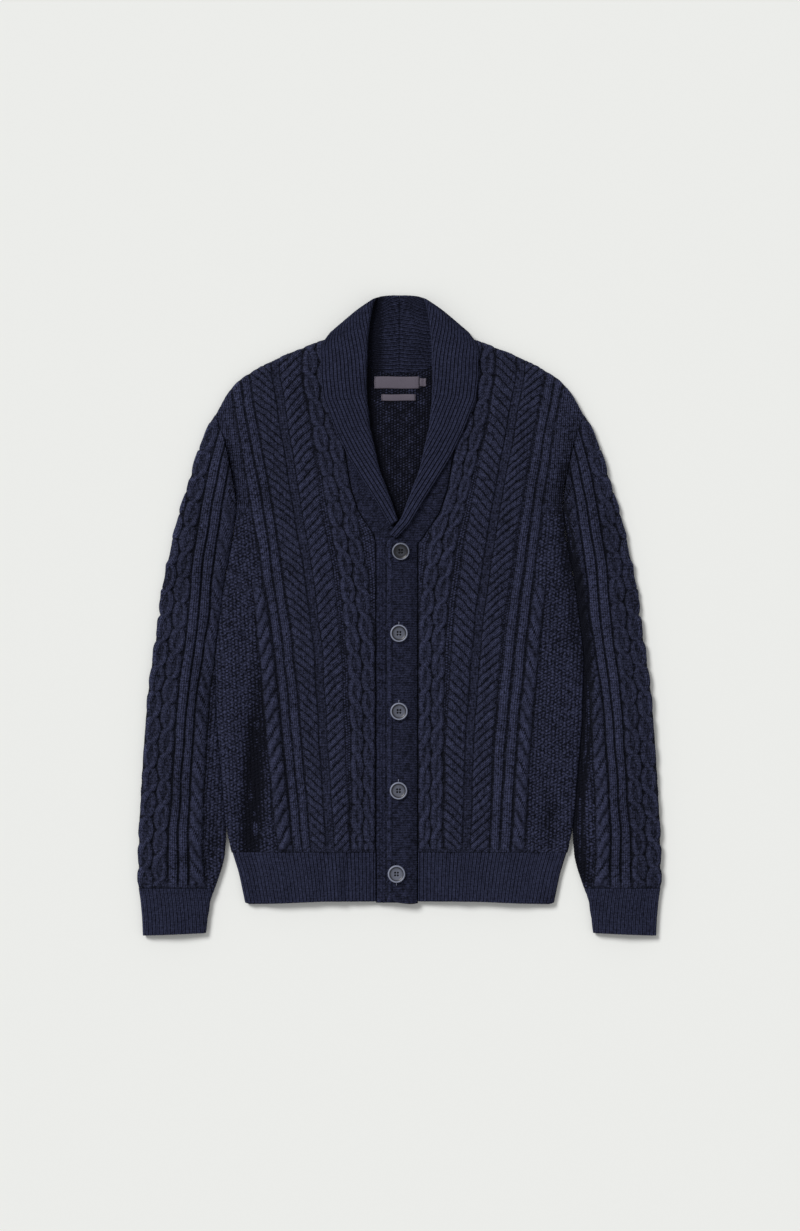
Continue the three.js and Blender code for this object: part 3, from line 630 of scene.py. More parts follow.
def buildWelt(name, sign, bandX, under=False):
    n, fine = welt["rows"], welt["columns"]
    v = np.linspace(0, 1, n)[:, None]
    t = np.linspace(-1 if under else 0, 1, fine)[None, :]
    bottom = -357.2 - 3.2 * smooth(np.abs(t), 0.3, 0.95) * smooth(1.04 - np.abs(t), 0, 0.08)
    y = mix(body["hemY"], bottom, v)
    inner = 0 if under else abs(bandX) + 0.3
    across = mix(inner, halfWidth(y), np.abs(t))
    x = (np.sign(t) if under else sign) * across
    count = (welt["half"] - inner) / welt["pitch"]
    turn = (across[:1] - inner) / (halfWidth(body["hemY"]) - inner) * count
    column = np.abs(np.cos(np.pi * turn)) ** 0.9 + 0 * across
    k = np.arange(fine - 1, -1, -welt["every"])
    if under:
        inside = foldDistance(x, y)[0]
        z = body["sideMid"] - quarter(body["foldOuter"], body["sideMid"], inside)
        z = z + 0.5 * (1 - column) * smooth(inside, 2, 6)
        backZ = (body["sideMid"] - innerRound(inside))[:, k]
    else:
        level, inside = frontLevel(x, y, 8.0)[:2]
        gather = 0.75 + 0.25 * smooth(v, 0, 0.12)
        relief = (column * welt["height"] - 1.5) * gather * (0.4 + 0.6 * smooth(inside, 0, 5))
        z = np.maximum(level + relief - 0.5 + folds(x, y, weltFolds), body["sideMid"] + 0.9)
        backZ = np.minimum((body["sideMid"] + innerRound(inside))[:, k], z[:, k] - 0.6)
    points = joined(stacked(x, y, z), stacked(x[:, k], y[:, k], backZ))
    turns = joined(turn + 0.5, turn[:, k]) + np.zeros((n, 1))
    rows = joined(y, y[:, k]) / 3.0
    # painted shade between the rib columns, painted light on them
    values = dict(stitches=stacked(turns, rows), purl=0 * turns,
                  paintedShading=pad((column - 0.62) * 0.8, len(k), 0.0))
    return addShell(name, points, fine, welt["every"], values)


for side, sign in (("right", -1), ("left", 1)):
    piece = buildWelt("hem_rib_" + side + "_knit", sign, bandSeam[side])
    finishPiece(piece, "rib_knit", ribWool, "hem_rib_" + side)
backWelt = finishPiece(buildWelt("back_hem_rib_knit", 1, 0, True), "rib_knit", ribWool, "back_hem_rib")
print("welts made")

# The bands are knitted sideways: fine ridges across them, with a column of V stitches at an edge.
bandSize = dict(rows=430, columns=25, every=4, ridge=2.1, endY=-358.6,
                innerY=[87.5, 92, 100, 112, 127.5, 142, 159, 180, 207.5, 222],
                innerX=[-17, -17, -6, 6, 15, 24, 32.5, 46, 61, 70])
bandFolds = [(0, -45, 1, -98, 16, 0.7), (2, -140, 0, -196, 15, 0.7), (0, 10, 1, 58, 15, 0.6)]


def buildBand(name, sign, bandX, freeX, upper):
    n, fine = bandSize["rows"], bandSize["columns"]
    v = np.linspace(0, 1, n)[:, None]
    t = np.linspace(0, 1, fine)[None, :]
    y = mix(bandSize["endY"], 222, v)
    seam = sign * (neckX(y, abs(bandX)) - 0.2)
    inner = np.interp(y, bandSize["innerY"], bandSize["innerX"])
    free = np.where(y > 87.5, sign * np.maximum(inner, sign * freeX), freeX)
    wave = 0.5 * np.sin(y / 17) + 0.3 * np.sin(y / 7.3 + 1)
    x = mix(seam, free + (wave if upper else 0) * (y < 84), t)
    y = y + 0 * x
    y = y - (1.4 * smooth(-y, 350, 358) * np.sin(np.pi * t * 1.4 + 0.6) if upper else 0)
    down = np.maximum(smooth(x, 11.6, 22), smooth(y, 108, 124)) if upper else 0 * x
    middle = mix(10.8 if upper else 7.0, 7.4, down)
    fromFree = np.abs(x - free)
    fromSeam = np.abs(x - seam)
    chain = smooth(fromFree, 0.4, 2.4) * (1 - smooth(fromFree, 6.2, 8.2)) if upper else 0 * x
    seamDip = np.exp(-(fromSeam / 1.1) ** 2) * 1.5 + np.exp(-(fromFree / 0.9) ** 2) * 1.6
    groove = np.exp(-((fromFree - 7.6) / 1.2) ** 2) * 0.5 if upper else 0 * x
    bow = 0.5 * np.sin(np.pi * t)
    height = 0.4 + 0.7 * chain + 0.3 * wander(x, y, 14, 1.0) - groove
    z = middle + 1.3 + height - seamDip + bow
    z = z + folds(x, y, bandFolds) * upper
    k = np.arange(fine - 1, -1, -bandSize["every"])
    face, back = stacked(x, y, z), stacked(x, y, middle - 1.7)[:, k]
    # the band beneath shows plain columns, the upper one its ridges
    plain = (chain > 0.4) | (not upper)
    u = np.where(plain, fromFree / 3.7, y / bandSize["ridge"] + 0.15 * wander(x, y, 11))
    w = np.where(plain, y / stitch["tall"], x / 1.7)
    # painted shade along the seam's dip and where the band lies low
    paintedShading = np.clip((height - seamDip - 0.5) * 0.45, -1, 0.5)
    stitches, ridge = stacked(u, w), 1.0 - plain
    values = dict(stitches=joined(stitches, stitches[:, k]), purl=pad(0 * u, len(k), 0.0),
                  paintedShading=pad(paintedShading, len(k), 0.0), ridge=joined(ridge, ridge[:, k]))
    return addShell(name, joined(face, back), fine, bandSize["every"], values)


for side, name, sign, freeX in (("right", "button", -1, 10.6), ("left", "buttonhole", 1, -17.0)):
    piece = buildBand(name + "_band_knit", sign, bandSeam[side], freeX, side == "left")
    finishPiece(piece, "rib_knit", bandWool, "band_" + name)
print("bands made")

# Sleeves: sections from the armhole to the cuff, with the outer and inner edges of each. `bend`
# is how far a section still curves like the armhole.
sleeveTable = dict(
    outX=[230, 238.7, 247, 258, 269, 280, 293, 305.5, 313, 316.8, 320, 322.6, 325.2, 325.4, 324.4],
    outY=[247.5, 234, 213, 182, 141, 98, 38, -42, -90, -131, -178, -226, -266, -306, -341],
    inX=[203.6, 203.8, 205.2, 207.2, 211.4, 216.4, 220.3, 229.5, 229, 227.8, 224.2, 219.8, 216,
         218.3, 230.5],
    inY=[131, 126, 118, 102, 78, 54, 30, -50, -90, -131, -178, -226, -266, -306, -341],
    bend=[1, 0.9, 0.75, 0.5, 0.2, 0, 0, 0, 0, 0, 0, 0, 0, 0, 0])
cuffTable = dict(
    outX=[324.3, 322, 320, 319], outY=[-341, -356, -378, -400.8],
    inX=[230.6, 236, 239.4, 242], inY=[-341, -355, -378, -397.5],
    bend=[0, 0, 0, 0])
sleeveLanes = dict(y=[-341, -319, -221, -106, -6, 69, 128, 218, 250],
                   braid=[35, 35.7, 38.7, 37.5, 36.3, 28.8, 22.5, 13.8, 10],
                   ropeA=[48, 48.8, 49.3, 50, 48.8, 41.3, 35, 25, 20],
                   ropeB=[61, 61.9, 61.2, 60.6, 61.3, 54.4, 46.9, 34, 28],
                   wide=[81, 81.3, 79.3, 78.1, 75.6, 73.8, 65.6, 48, 40])
tubeSize = dict(top=82, under=16, inner=10, bunch=0.08, wall=3.6)
sleeveFolds = dict(
    right=[(-217, 236, -205, 140, 6, -1.6),
           (-240, 150, -262, 60, 9, -1.3), (-232, 40, -262, -30, 10, 1.4),
           (-250, -60, -236, -140, 10, -1.0), (-262, 60, -300, 20, 14, -0.9),
           (-236, -190, -252, -280, 10, 1.3), (-290, -150, -276, -260, 18, -0.9),
           (-252, -300, -300, -318, 9, -1.3), (-226, -250, -240, -330, 7, -1.4)],
    left=[(217, 236, 205, 150, 6, -2.2), (206, 160, 214, 60, 8, -3.0),
          (240, 150, 262, 60, 9, -1.2), (244, 10, 252, -70, 10, 1.3), (246, -110, 240, -190, 10, -1.0),
          (270, 40, 300, 0, 14, -0.8), (240, -200, 250, -290, 10, 1.2), (288, -170, 280, -270, 18, -0.8),
          (250, -306, 300, -322, 9, -1.4), (226, -240, 238, -326, 7, -1.3)])


# Cloth of a sleeve or cuff at places given by how far in from its outer edge and how high they
# lie. The braid keeps its width, and at the top it runs out over the edge.
def sleeveKnit(across, y):
    across = across + 0.7 * wander(across, y, 55, 1.0)
    s = y + 0.8 * wander(across, y, 40, 3.0)
    at = tableAt(sleeveLanes, y, 20)
    far = np.full(across.shape, 500.0)
    lanes = [(moss, far * 0 - 90, at["braid"] - 38, 60),
             (ringBraid, at["braid"] - 38, at["braid"], 8),
             (narrowRope, at["braid"] + 1.2, at["ropeA"], 6),
             (narrowRope, at["ropeA"] + 1.6, at["ropeB"], 6),
             (wideRope, at["ropeB"] + 1.4, at["wide"], 6),
             (moss, at["wide"] + 0.6, far, 60)]
    height, u, v, purl = layLanes(across, s, lanes)
    return mix(1.7, height + 0.3 * wander(across, y, 15, 2.0), smooth(y, -341, -331)), u, v, purl


def cuffKnit(across, y):
    column = np.abs(np.cos(np.pi * across / 4.6)) ** 0.9
    return 0.8 + 1.5 * column, across / 4.6 + 0.5, y / 3.0, 0 * across


# The tube of a sleeve or cuff, lying flat: its sections run along `table`, each a loop of the
# face and the side on the ground, with a lining one wall in from it.
def buildTube(name, sign, table, knit, rows, valley, foldRows, lift, relief):
    dense = {}
    arcOut = np.hypot(np.diff(table["outX"]), np.diff(table["outY"]))
    arcOut = np.concatenate([[0], np.cumsum(arcOut)])
    for key in table:
        a, line = easedLine(arcOut, table[key], 26 if len(table[key]) > 6 else 6, 1.0)
        line[0], line[-1] = table[key][0], table[key][-1]
        dense[key] = np.interp(np.linspace(0, arcOut[-1], rows), a, line)[:, None]
    gapX, gapY = dense["outX"] - dense["inX"], dense["outY"] - dense["inY"]
    span = np.hypot(gapX, gapY)
    outX, outY = gapX / span, gapY / span
    # places across: the face from the inner edge to the outer one, bunched near both, then back
    q = np.linspace(0, 1, tubeSize["top"])
    bunch = tubeSize["bunch"]
    nearEdge = np.minimum(q, 1 - q)
    nearEdge = np.where(nearEdge < bunch, (nearEdge / bunch) ** 1.7 * bunch, nearEdge)
    face = np.where(q < 0.5, nearEdge, 1 - nearEdge)
    under = (1 - np.cos(np.linspace(np.pi, 0, tubeSize["under"] + 2)[1:-1])) / 2
    lining = (1 - np.cos(np.linspace(0, np.pi, tubeSize["inner"]))) / 2
    shares = np.concatenate([face, under])[None, :]
    inside, fromIn = (1 - shares) * span, shares * span

    def place(t):
        bowX = halfWidth(mix(body["armpitY"], body["tipY"], t)) + 0.6 - mix(203.6, 230.6, t)
        x = mix(dense["inX"], dense["outX"], t) + dense["bend"] * bowX
        return x, mix(dense["inY"], dense["outY"], t)

    x, y = place(shares)
    edgeX = np.interp(y, dense["outY"][::-1, 0], dense["outX"][::-1, 0])
    slope = 1 - 0.14 * smooth(y, 40, 240)
    nearest = np.minimum(inside, fromIn)
    inRound = smooth(np.linspace(0, 1, rows)[:, None], 0.05, 0.3)
    inRound = mix(4.8, min(valley, 8.0), inRound)
    radius = np.where(fromIn < inside, inRound, 5.2)
    off = np.clip(1 - nearest / radius, 0, 1)
    dome = np.sqrt(1 - off * off)
    top = (np.arange(shares.size) < tubeSize["top"])[None, :]
    height, u, w, purl = knit((edgeX - x) * slope, y)
    # the side on the ground is plain, and follows the knit only at its edges
    height = np.where(top, height, mix(height, 2.4, smooth(nearest, 1, 10)))
    stitches = np.where(top[..., None], stacked(u, w), onStitches(edgeX - x, y))
    purl = np.where(top, purl, 0)
    lift = mix(2.6, lift, smooth(y, -341, -250))
    raised = (height - 2.0) * relief * (0.35 + 0.65 * smooth(fromIn, 0, 8))
    lean = off ** 2 * np.where(fromIn < inside, -0.3, 1.0)
    # a sleeve whose valley is wide lies low and slow beside the body before it swells
    shelf = smooth(valley, 9, 14) * smooth(y, -352, -300) * (fromIn < inside)
    slow = mix(1.0, 0.16 + 0.84 * smooth(fromIn, 5, valley + 2), shelf)
    puff = lift * smooth(nearest, 2, 49) * slow
    creases = folds(sign * x, y, foldRows)
    zTop = 4.8 + 4.8 * dome * slow + puff + raised * (1 - 0.5 * off) * mix(1, 0.5 + 0.5 * slow, shelf)
    zTop = zTop + creases
    zLow = 4.8 - 4.8 * dome + (4.4 - np.clip(height, 0, 4.4)) * 0.12 * dome
    z = np.where(top, np.maximum(zTop, 5.2), np.maximum(zLow, 0.03))
    push = lean * (1.2 * np.clip(height, 0, 5) - 1.1) * relief
    outer = stacked(x + outX * push, y + outY * push, z)
    # the lining of the tube, one wall in from the face
    wall = tubeSize["wall"]
    t = wall / span + lining[None, :] * (1 - 2 * wall / span)
    lx, ly = place(t)
    edge = np.minimum(t, 1 - t) * span - wall
    gap = 0.7 * smooth(edge, 0, 4)
    rise = lift[:, :1] * 0.9 * smooth(edge, 0, 42)
    upper = stacked(lx, ly, 4.9 + gap + rise)
    lower = stacked(lx, ly, 4.7 - gap)[:, ::-1]
    points = joined(outer, upper, lower)
    points[..., 0] *= sign
    o, m = outer.shape[1], tubeSize["inner"]
    around = o + 2 * m
    quads = np.concatenate([ringQuads(rows, o, around),
                            ringQuads(rows, 2 * m, around, o)[:, [0, 3, 2, 1]]])
    # each end is closed by faces between the outer ring and the lining's
    ends, last, topLast = [], (rows - 1) * around, tubeSize["top"] - 1
    topEdges = np.round(np.linspace(0, topLast, m)).astype(int)
    lowEdges = tubeSize["top"] + np.round(np.linspace(0, tubeSize["under"] - 1, m - 2)).astype(int)
    lowEdges = [topLast, *lowEdges, o]
    for edges, first in ((topEdges, o), (lowEdges, o + m)):
        for k in range(m - 1):
            strip = [p % o for p in range(edges[k], edges[k + 1] + 1)]
            ends.append(strip[::-1] + [first + k, first + k + 1])
            ends.append([last + p for p in strip] + [last + first + k + 1, last + first + k])
    for corners in ([topLast, o + m - 1, o + m], [0, o + 2 * m - 1, o]):
        ends += [corners, [last + corners[p] for p in (0, 2, 1)]]
    # painted shade in low places and creases, the body's painted shadow on the low strip beside it, and a
    # darker lining
    paintedShading = height - evened(height, 26) + 5.0 * (slow - 1) * top + 0.5 * np.minimum(creases, 0) * top
    flat = onStitches(lx, ly)
    values = dict(stitches=joined(stitches, flat, flat[:, ::-1]),
                  purl=pad(purl, 2 * m, 1.0), paintedShading=pad(np.clip(paintedShading / 2.4, -1.4, 1), 2 * m, -0.3))
    return addMesh(name, points, quads, ends, values)


sleevePieces, cuffPieces = {}, {}
for side, sign, valley in (("right", -1, 8.0), ("left", 1, 15.0)):
    sleeve = buildTube("sleeve_" + side + "_knit", sign, sleeveTable, sleeveKnit, 470, valley,
                       sleeveFolds[side], 7.0, 1.0)
    cuff = buildTube("cuff_" + side + "_knit", sign, cuffTable, cuffKnit, 46, 7.0, [], 2.6, 0.8)
    sleevePieces[side] = finishPiece(sleeve, "cable_knit", cableWool, "sleeve_" + side)
    cuffPieces[side] = finishPiece(cuff, "rib_knit", ribWool, "cuff_" + side)
print("sleeves and cuffs made")

# The collar, by sections across it from its tip to the middle of the back: its roll edge r, its
# neck seam s and its free edge f, and how far it has turned over from lying in front (0) to
# standing behind the neck (180 degrees).
collarRows = np.array([
    (5, 116, 113.2, 11.6, 111.4, 5.6, 5.6, 5.6, 0), (15.4, 145.4, 140.5, 26, 137, 5.5, 5.5, 5.5, 0),
    (29, 181, 172.5, 46.5, 169.5, 5.5, 5.5, 5.5, 0), (35, 208, 197, 64, 198, 5.5, 5.5, 5.5, 0),
    (41, 234, 226, 79.5, 230, 5.5, 5.5, 6.2, 0), (45, 274, 270, 95, 270, 6, 5.45, 5.9, 0),
    (45, 300, 296, 98, 298, 8.45, 5.45, 6, 0), (43.5, 338, 318, 98, 316, 8.45, 5.45, 6, 0),
    (40, 366, 332, 98.6, 330, 8.45, 5.4, 6, 0), (35.5, 386, 341.5, 96, 338, 8.45, 5.2, 6.4, 0),
    (31, 391, 344.4, 91.5, 338.8, 8.45, 4.8, 7.4, 35), (29.3, 392.7, 344.8, 84, 346, 8.45, 4.8, 8.45, 70),
    (28.6, 393.5, 344.9, 78, 351, 8.45, 4.8, 8.45, 110),
    (27.5, 394.4, 344.8, 72, 352, 8.45, 4.8, 8.45, 145),
    (25, 395.2, 338, 66, 350, 8.45, 4.5, 8.45, 180), (18, 395.2, 318, 50, 334, 8.45, 4.2, 8.45, 180),
    (10, 395.2, 304.6, 27, 320, 8.45, 4.15, 8.45, 180),
    (0.05, 395.2, 300, 0.05, 315, 8.45, 4.15, 8.45, 180)])
overlapRows = np.array([
    (-9.2, 98.6, 97.6, -3.6, 96, 8.95, 8.95, 8.95, 0), (5, 117, 114, 11.6, 112.4, 8.8, 8.2, 8.8, 0),
    (15.4, 145.4, 140.5, 26, 137, 6.2, 5.6, 6.2, 0)])
collarSize = dict(rows=210, stand=45, roll=10, fall=54, every=6, pitch=4.7, sideX=0.62, sideY=0.48)


collarTop = easedLine([-6, 0, 10, 18, 25, 33, 47.5, 62.5, 120],
                      [399.4, 399.4, 399.3, 398.8, 397.4, 393.8, 384.6, 374.5, 340], 5, 0.5)
collarFolds = [(60, 330, 64, 220, 12, -0.5), (82, 320, 84, 250, 9, 0.5), (50, 320, 52, 250, 6, 0.5)]


def buildCollar(name, sign, rows):
    standX = np.interp(rows[:, 2], bandSize["innerY"], bandSize["innerX"])
    standX = np.where(rows[:, 2] < 222, standX, neckX(rows[:, 2], bandSeam["left"])) - 1.2
    bent = rows[:, 8] > 90
    neckBack = body["neckSide"] * np.clip((rows[:, 2] - 300) / 44, 0, 1) ** (1 / 2.2)
    standX = np.where(bent, np.maximum(0.05, neckBack), standX)
    standX = np.where(rows[:, 0] < 6, rows[:, 0] - 0.9, standX)
    table = joined(rows, standX[:, None])
    table[bent, 2] += 0.2
    # sections are spread evenly by how far the roll edge and the free edge move between them
    moved = np.diff(rows, axis=0)
    step = np.hypot(moved[:, 0], moved[:, 1]) + np.hypot(moved[:, 3], moved[:, 4])
    arc = np.concatenate([[0], np.cumsum(step / 2 + 1.5)])
    at = np.linspace(0, arc[-1], collarSize["rows"])
    cols = []
    for k in range(table.shape[1]):
        a, line = easedLine(arc, table[:, k], 7, 0.5)
        line[0], line[-1] = table[0, k], table[-1, k]
        cols.append(np.interp(at, np.linspace(0, arc[-1], len(line)), line)[:, None])
    rx, ry, sy, fx, fy, rz, sz, fz, turn, sx = cols
    turn = np.radians(turn)
    wide = np.hypot(fx - rx, fy - ry)
    dx, dy = (fx - rx) / wide, (fy - ry) / wide
    deep = np.hypot(sx - rx, sy - ry)
    sin, cos = np.sin(turn), np.cos(turn)

    def part(kind, along, off):
        ex, ey, ez = (sx, sy, sz) if kind == "stand" else (fx, fy, fz)
        radius = (mix(2.15, 2.8, along * sin) if kind == "stand" else 6.45) + off
        core = mix(rz, ez, smooth(along, 0.45, 1))
        return stacked(mix(rx, ex, along) + radius * sin * collarSize["sideX"],
                       mix(ry, ey, along) + radius * sin * collarSize["sideY"], core + radius * cos)

    def roll(angle, off):
        out, up = (2.15 + off) * np.cos(angle), 4.3 + (2.15 + off) * np.sin(angle)
        return stacked(rx - out * dx + up * sin * collarSize["sideX"],
                       ry - out * dy + up * sin * collarSize["sideY"], rz + up * cos)

    alongStand = np.linspace(1, 0.02, collarSize["stand"])[None, :]
    alongFall = np.linspace(0.02, 1, collarSize["fall"])[None, :]
    angle = np.radians(np.linspace(-90, 90, collarSize["roll"]))[None, :]
    outside, lining = (joined(part("stand", alongStand, -off), roll(angle, off),
                              part("fall", alongFall, off)) for off in (2, -2))
    normal = outside - lining
    normal /= np.linalg.norm(normal, axis=2, keepdims=True) + 1e-9
    # place across the knit, from the free edge round the roll to the neck seam
    rolled = 13.0
    place = joined(wide + rolled + alongStand * deep,
                   wide + rolled * (90 - np.degrees(angle)) / 180,
                   (1 - alongFall) * wide)
    length = at[:, None]
    column = np.abs(np.cos(np.pi * (place + 0.4) / collarSize["pitch"])) ** 0.65
    flat = smooth(place, 0.2, 2.4)
    relief = (2.0 * column - 1.6) * flat * smooth(length, 0, 10)
    relief = relief - 0.7 * (1 - smooth(place, 0, 1.4))
    seamSide = np.abs(outside[..., 0])
    seam = np.exp(-((seamSide - 2.4) / 1.2) ** 2) * 0.4 - np.exp(-(seamSide / 1.1) ** 2) * 1.1
    seam = seam * (turn > 2.0) * smooth(place, wide + 11, wide + 20)
    seam = seam * (0.75 + 0.25 * np.cos(2 * np.pi * place / collarSize["pitch"]))
    face = outside + normal * (relief + seam)[..., None]
    fine = face.shape[1]
    onFall = (cos > 0.5) * (place < wide)
    face[..., 2] += folds(sign * face[..., 0], face[..., 1], collarFolds) * onFall
    k = np.arange(fine - 1, -1, -collarSize["every"])
    points = joined(face, lining[:, k])
    points[..., 2] = np.maximum(points[..., 2], 0.2)
    # the top edge is drawn to one smooth arc
    past = points[..., 1] - np.interp(points[..., 0], *collarTop)
    points[..., 1] -= 0.5 * (past + np.sqrt(past * past + 0.3))
    points[..., 0] *= sign
    columns = joined((place + 0.4) / collarSize["pitch"] + 0.5,
                     place[:, k] / collarSize["pitch"])
    stitches = stacked(columns, length / 3.1 + 0 * columns)
    onStand = place > wide + 9
    # painted shade in the rib grooves and the seam, and over the whole stand
    paintedShading = np.clip((column - 0.72) * 1.5 + seam * 0.6 - 0.22 * onStand, -1, 1)
    # painted shadow of the roll darkens the stand beside it on the wearer's right
    if sign < 0:
        paintedShading = paintedShading - 0.9 * onStand * np.where(turn > 2.0, smooth(face[..., 0], 17, 27), 1.0)
    values = dict(stitches=stitches, purl=0 * columns, paintedShading=pad(paintedShading, len(k), 0.0))
    return addShell(name, points, fine, collarSize["every"], values)


for side, sign, rows in (("right", -1, collarRows),
                         ("left", 1, np.concatenate([overlapRows, collarRows[2:]]))):
    piece = buildCollar("collar_" + side + "_knit", sign, rows)
    finishPiece(piece, "rib_knit", ribWool, "collar_" + side)
print("collars made")


# Buttons of polished horn-like plastic, turned with a raised rim round a sunk ring and a centre
# with four holes, and sewn on with dark thread that plugs each hole, with a shank under the button.
def hornPlastic(name, light, dark):
    material, tree = newMaterial(name)
    where = addNode(tree, "TexCoord").outputs["Object"]
    streak = addNode(tree, "TexNoise", None,
                     {"Vector": where, "Scale": 160.0, "Detail": 4.0, "Distortion": 1.6}).outputs[0]
    # this point value carries the profile's painted highlight and painted shade
    ring = addNode(tree, "Attribute", dict(attribute_name="ring")).outputs["Fac"]
    tone = addNode(tree, "Math", dict(operation="MULTIPLY_ADD"),
                   {0: streak, 1: 0.35, 2: ring}).outputs[0]
    colour = addNode(tree, "Mix", dict(data_type="RGBA"),
                     {0: tone, 6: linear(dark), 7: linear(light)}).outputs[2]
    shader = addNode(tree, "BsdfPrincipled", None, {
        "Base Color": colour, "Roughness": 0.38, "IOR": 1.5})
    addNode(tree, "OutputMaterial", None, {0: shader.outputs[0]})
    return material


def plainThread(name, colour):
    material, tree = newMaterial(name)
    where = addNode(tree, "TexCoord").outputs["Object"]
    ply = addNode(tree, "TexNoise", None,
                  {"Vector": where, "Scale": 2200.0, "Detail": 2.0}).outputs[0]
    bump = addNode(tree, "Bump", None, {"Distance": 0.15 * mm, "Height": ply}).outputs[0]
    shader = addNode(tree, "BsdfPrincipled", None,
                     {"Base Color": linear(colour), "Roughness": 0.75, "Normal": bump})
    addNode(tree, "OutputMaterial", None, {0: shader.outputs[0]})
    return material


buttonHorn = hornPlastic("polished_horn_plastic", "#82879a", "#15161c")
sewingThread = plainThread("dark_polyester_thread", "#0d0e13")
buttonholeThread = plainThread("grey_buttonhole_twist", "#6d7186")
# each place: x, y, tilt and a tone offset; the top button's darker tone is painted shade
button = dict(places=[(1.6, 79.6, 9.0, -0.30), (-0.6, -22.8, 0, 0), (-0.6, -120, 0, 0),
                      (-1.2, -218.8, 0, 0), (-3.7, -322.5, 0, 0.1)],
              baseZ=12.8, radius=11, holeRadius=1.2, holeOut=1.65, holeDeep=2.2, around=96)


# Turned from its profile: radius, height, and the horn's tone there with painted light: a painted
# highlight on the rim's top and painted shade on its inner slope.
def buildButton(name, x0, y0, tilt, tone):
    around = button["around"]
    rim = [(0.02, 0, 0.3), (9.2, 0, 0.3), (10.3, 0.35, 0.3), (10.9, 1.1, 0.4), (11, 2.1, 0.5),
           (10.9, 3.1, 0.6), (10.5, 3.95, 0.6), (10.0, 4.35, 0.9), (9.5, 4.3, 0.85), (9.1, 4.0, 0.3),
           (8.7, 3.6, -0.1), (8.2, 3.2, -0.3), (7.4, 2.86, 0.0), (6.4, 2.62, 0.14), (5.2, 2.5, 0.2)]
    r = np.linspace(4.4, 0.02, 20)
    bowl = np.stack([r, 2.2 + 0.012 * r * r, 0.24 - 0.01 * r], 1)
    line = np.concatenate([rim, bowl])
    angle = np.linspace(0, 2 * np.pi, around, endpoint=False)[None, :]
    r, z = line[:, :1], line[:, 1:2] + 0 * angle
    x, y = r * np.cos(angle), r * np.sin(angle)
    top = (np.arange(len(line)) > 9)[:, None]
    hole = np.hypot(np.abs(x) - button["holeOut"], np.abs(y) - button["holeOut"])
    sink = (1 - smooth(hole, button["holeRadius"] - 0.35, button["holeRadius"] + 0.15)) * top
    z = z - button["holeDeep"] * sink
    # painted shade in the four holes, and each button's tone offset
    ring = line[:, 2:3] + tone - 1.6 * sink
    lean = np.radians(tilt)
    points = stacked(x + x0, y * np.cos(lean) - z * np.sin(lean) + y0,
                     z * np.cos(lean) + y * np.sin(lean) + button["baseZ"]
                     + button["radius"] * np.sin(lean))
    quads = ringQuads(len(line), around)[:, [0, 3, 2, 1]]
    ends = [face[::-1] for face in ringEnds(len(line), around)]
    return addMesh(name, points, quads, ends, {"ring": ring + 0 * angle})


# A round thread along a line of points.
def addThread(name, line, radius, sides=6):
    line = np.array(line, float)
    along = np.gradient(line, axis=0)
    along /= np.linalg.norm(along, axis=1, keepdims=True)
    side = np.cross(along, [0.31, 0.17, 0.93])
    side /= np.linalg.norm(side, axis=1, keepdims=True)
    up = np.cross(side, along)
    angle = np.linspace(0, 2 * np.pi, sides, endpoint=False)[None, :, None]
    ring = side[:, None, :] * np.cos(angle) + up[:, None, :] * np.sin(angle)
    points = line[:, None, :] + radius * ring
    return addMesh(name, points, ringQuads(len(line), sides), ringEnds(len(line), sides), {})


for k, (x0, y0, tilt, tone) in enumerate(button["places"], 1):
    piece = buildButton("button_%d_turned" % k, x0, y0, tilt, tone)
    finishPiece(piece, "button", buttonHorn, "button_%d" % k)
    out, lean = button["holeOut"], np.radians(tilt)
    lift = button["baseZ"] + button["radius"] * np.sin(lean)
    for n, (ax, ay) in enumerate([(-out, -out), (out, -out), (-out, out), (out, out)], 1):
        line = [(x0 + 0.6 * ax, y0 + 0.6 * ay, 10.2), (x0 + ax, y0 + ay * np.cos(lean), lift + 0.3),
                (x0 + ax, y0 + ay * np.cos(lean) - 1.6 * np.sin(lean), lift + 1.7)]
        finishPiece(addThread("button_%d_thread_%d" % (k, n), line, 0.75), "button", sewingThread)
    shank = np.stack([np.full(5, x0), np.full(5, y0), np.linspace(9.5, lift + 0.2, 5)], 1)
    finishPiece(addThread("button_%d_shank" % k, shank, 1.4, 10), "button", sewingThread)
print("buttons made")

# Worked ends of the buttonholes that show past the buttons: above them, and below the lowest.
for k, (x0, y0, tilt, tone) in enumerate(button["places"][1:], 2):
    side = -1 if k == 5 else 1
    ends = [(x0 - 0.3, y0 + side * 10.2, 14.1), (x0 - 0.2, y0 + side * 12.2, 14.3),
            (x0, y0 + side * 14.4, 14.0)]
    finishPiece(addThread("buttonhole_end_%d" % k, ends, 0.55), "button", buttonholeThread)


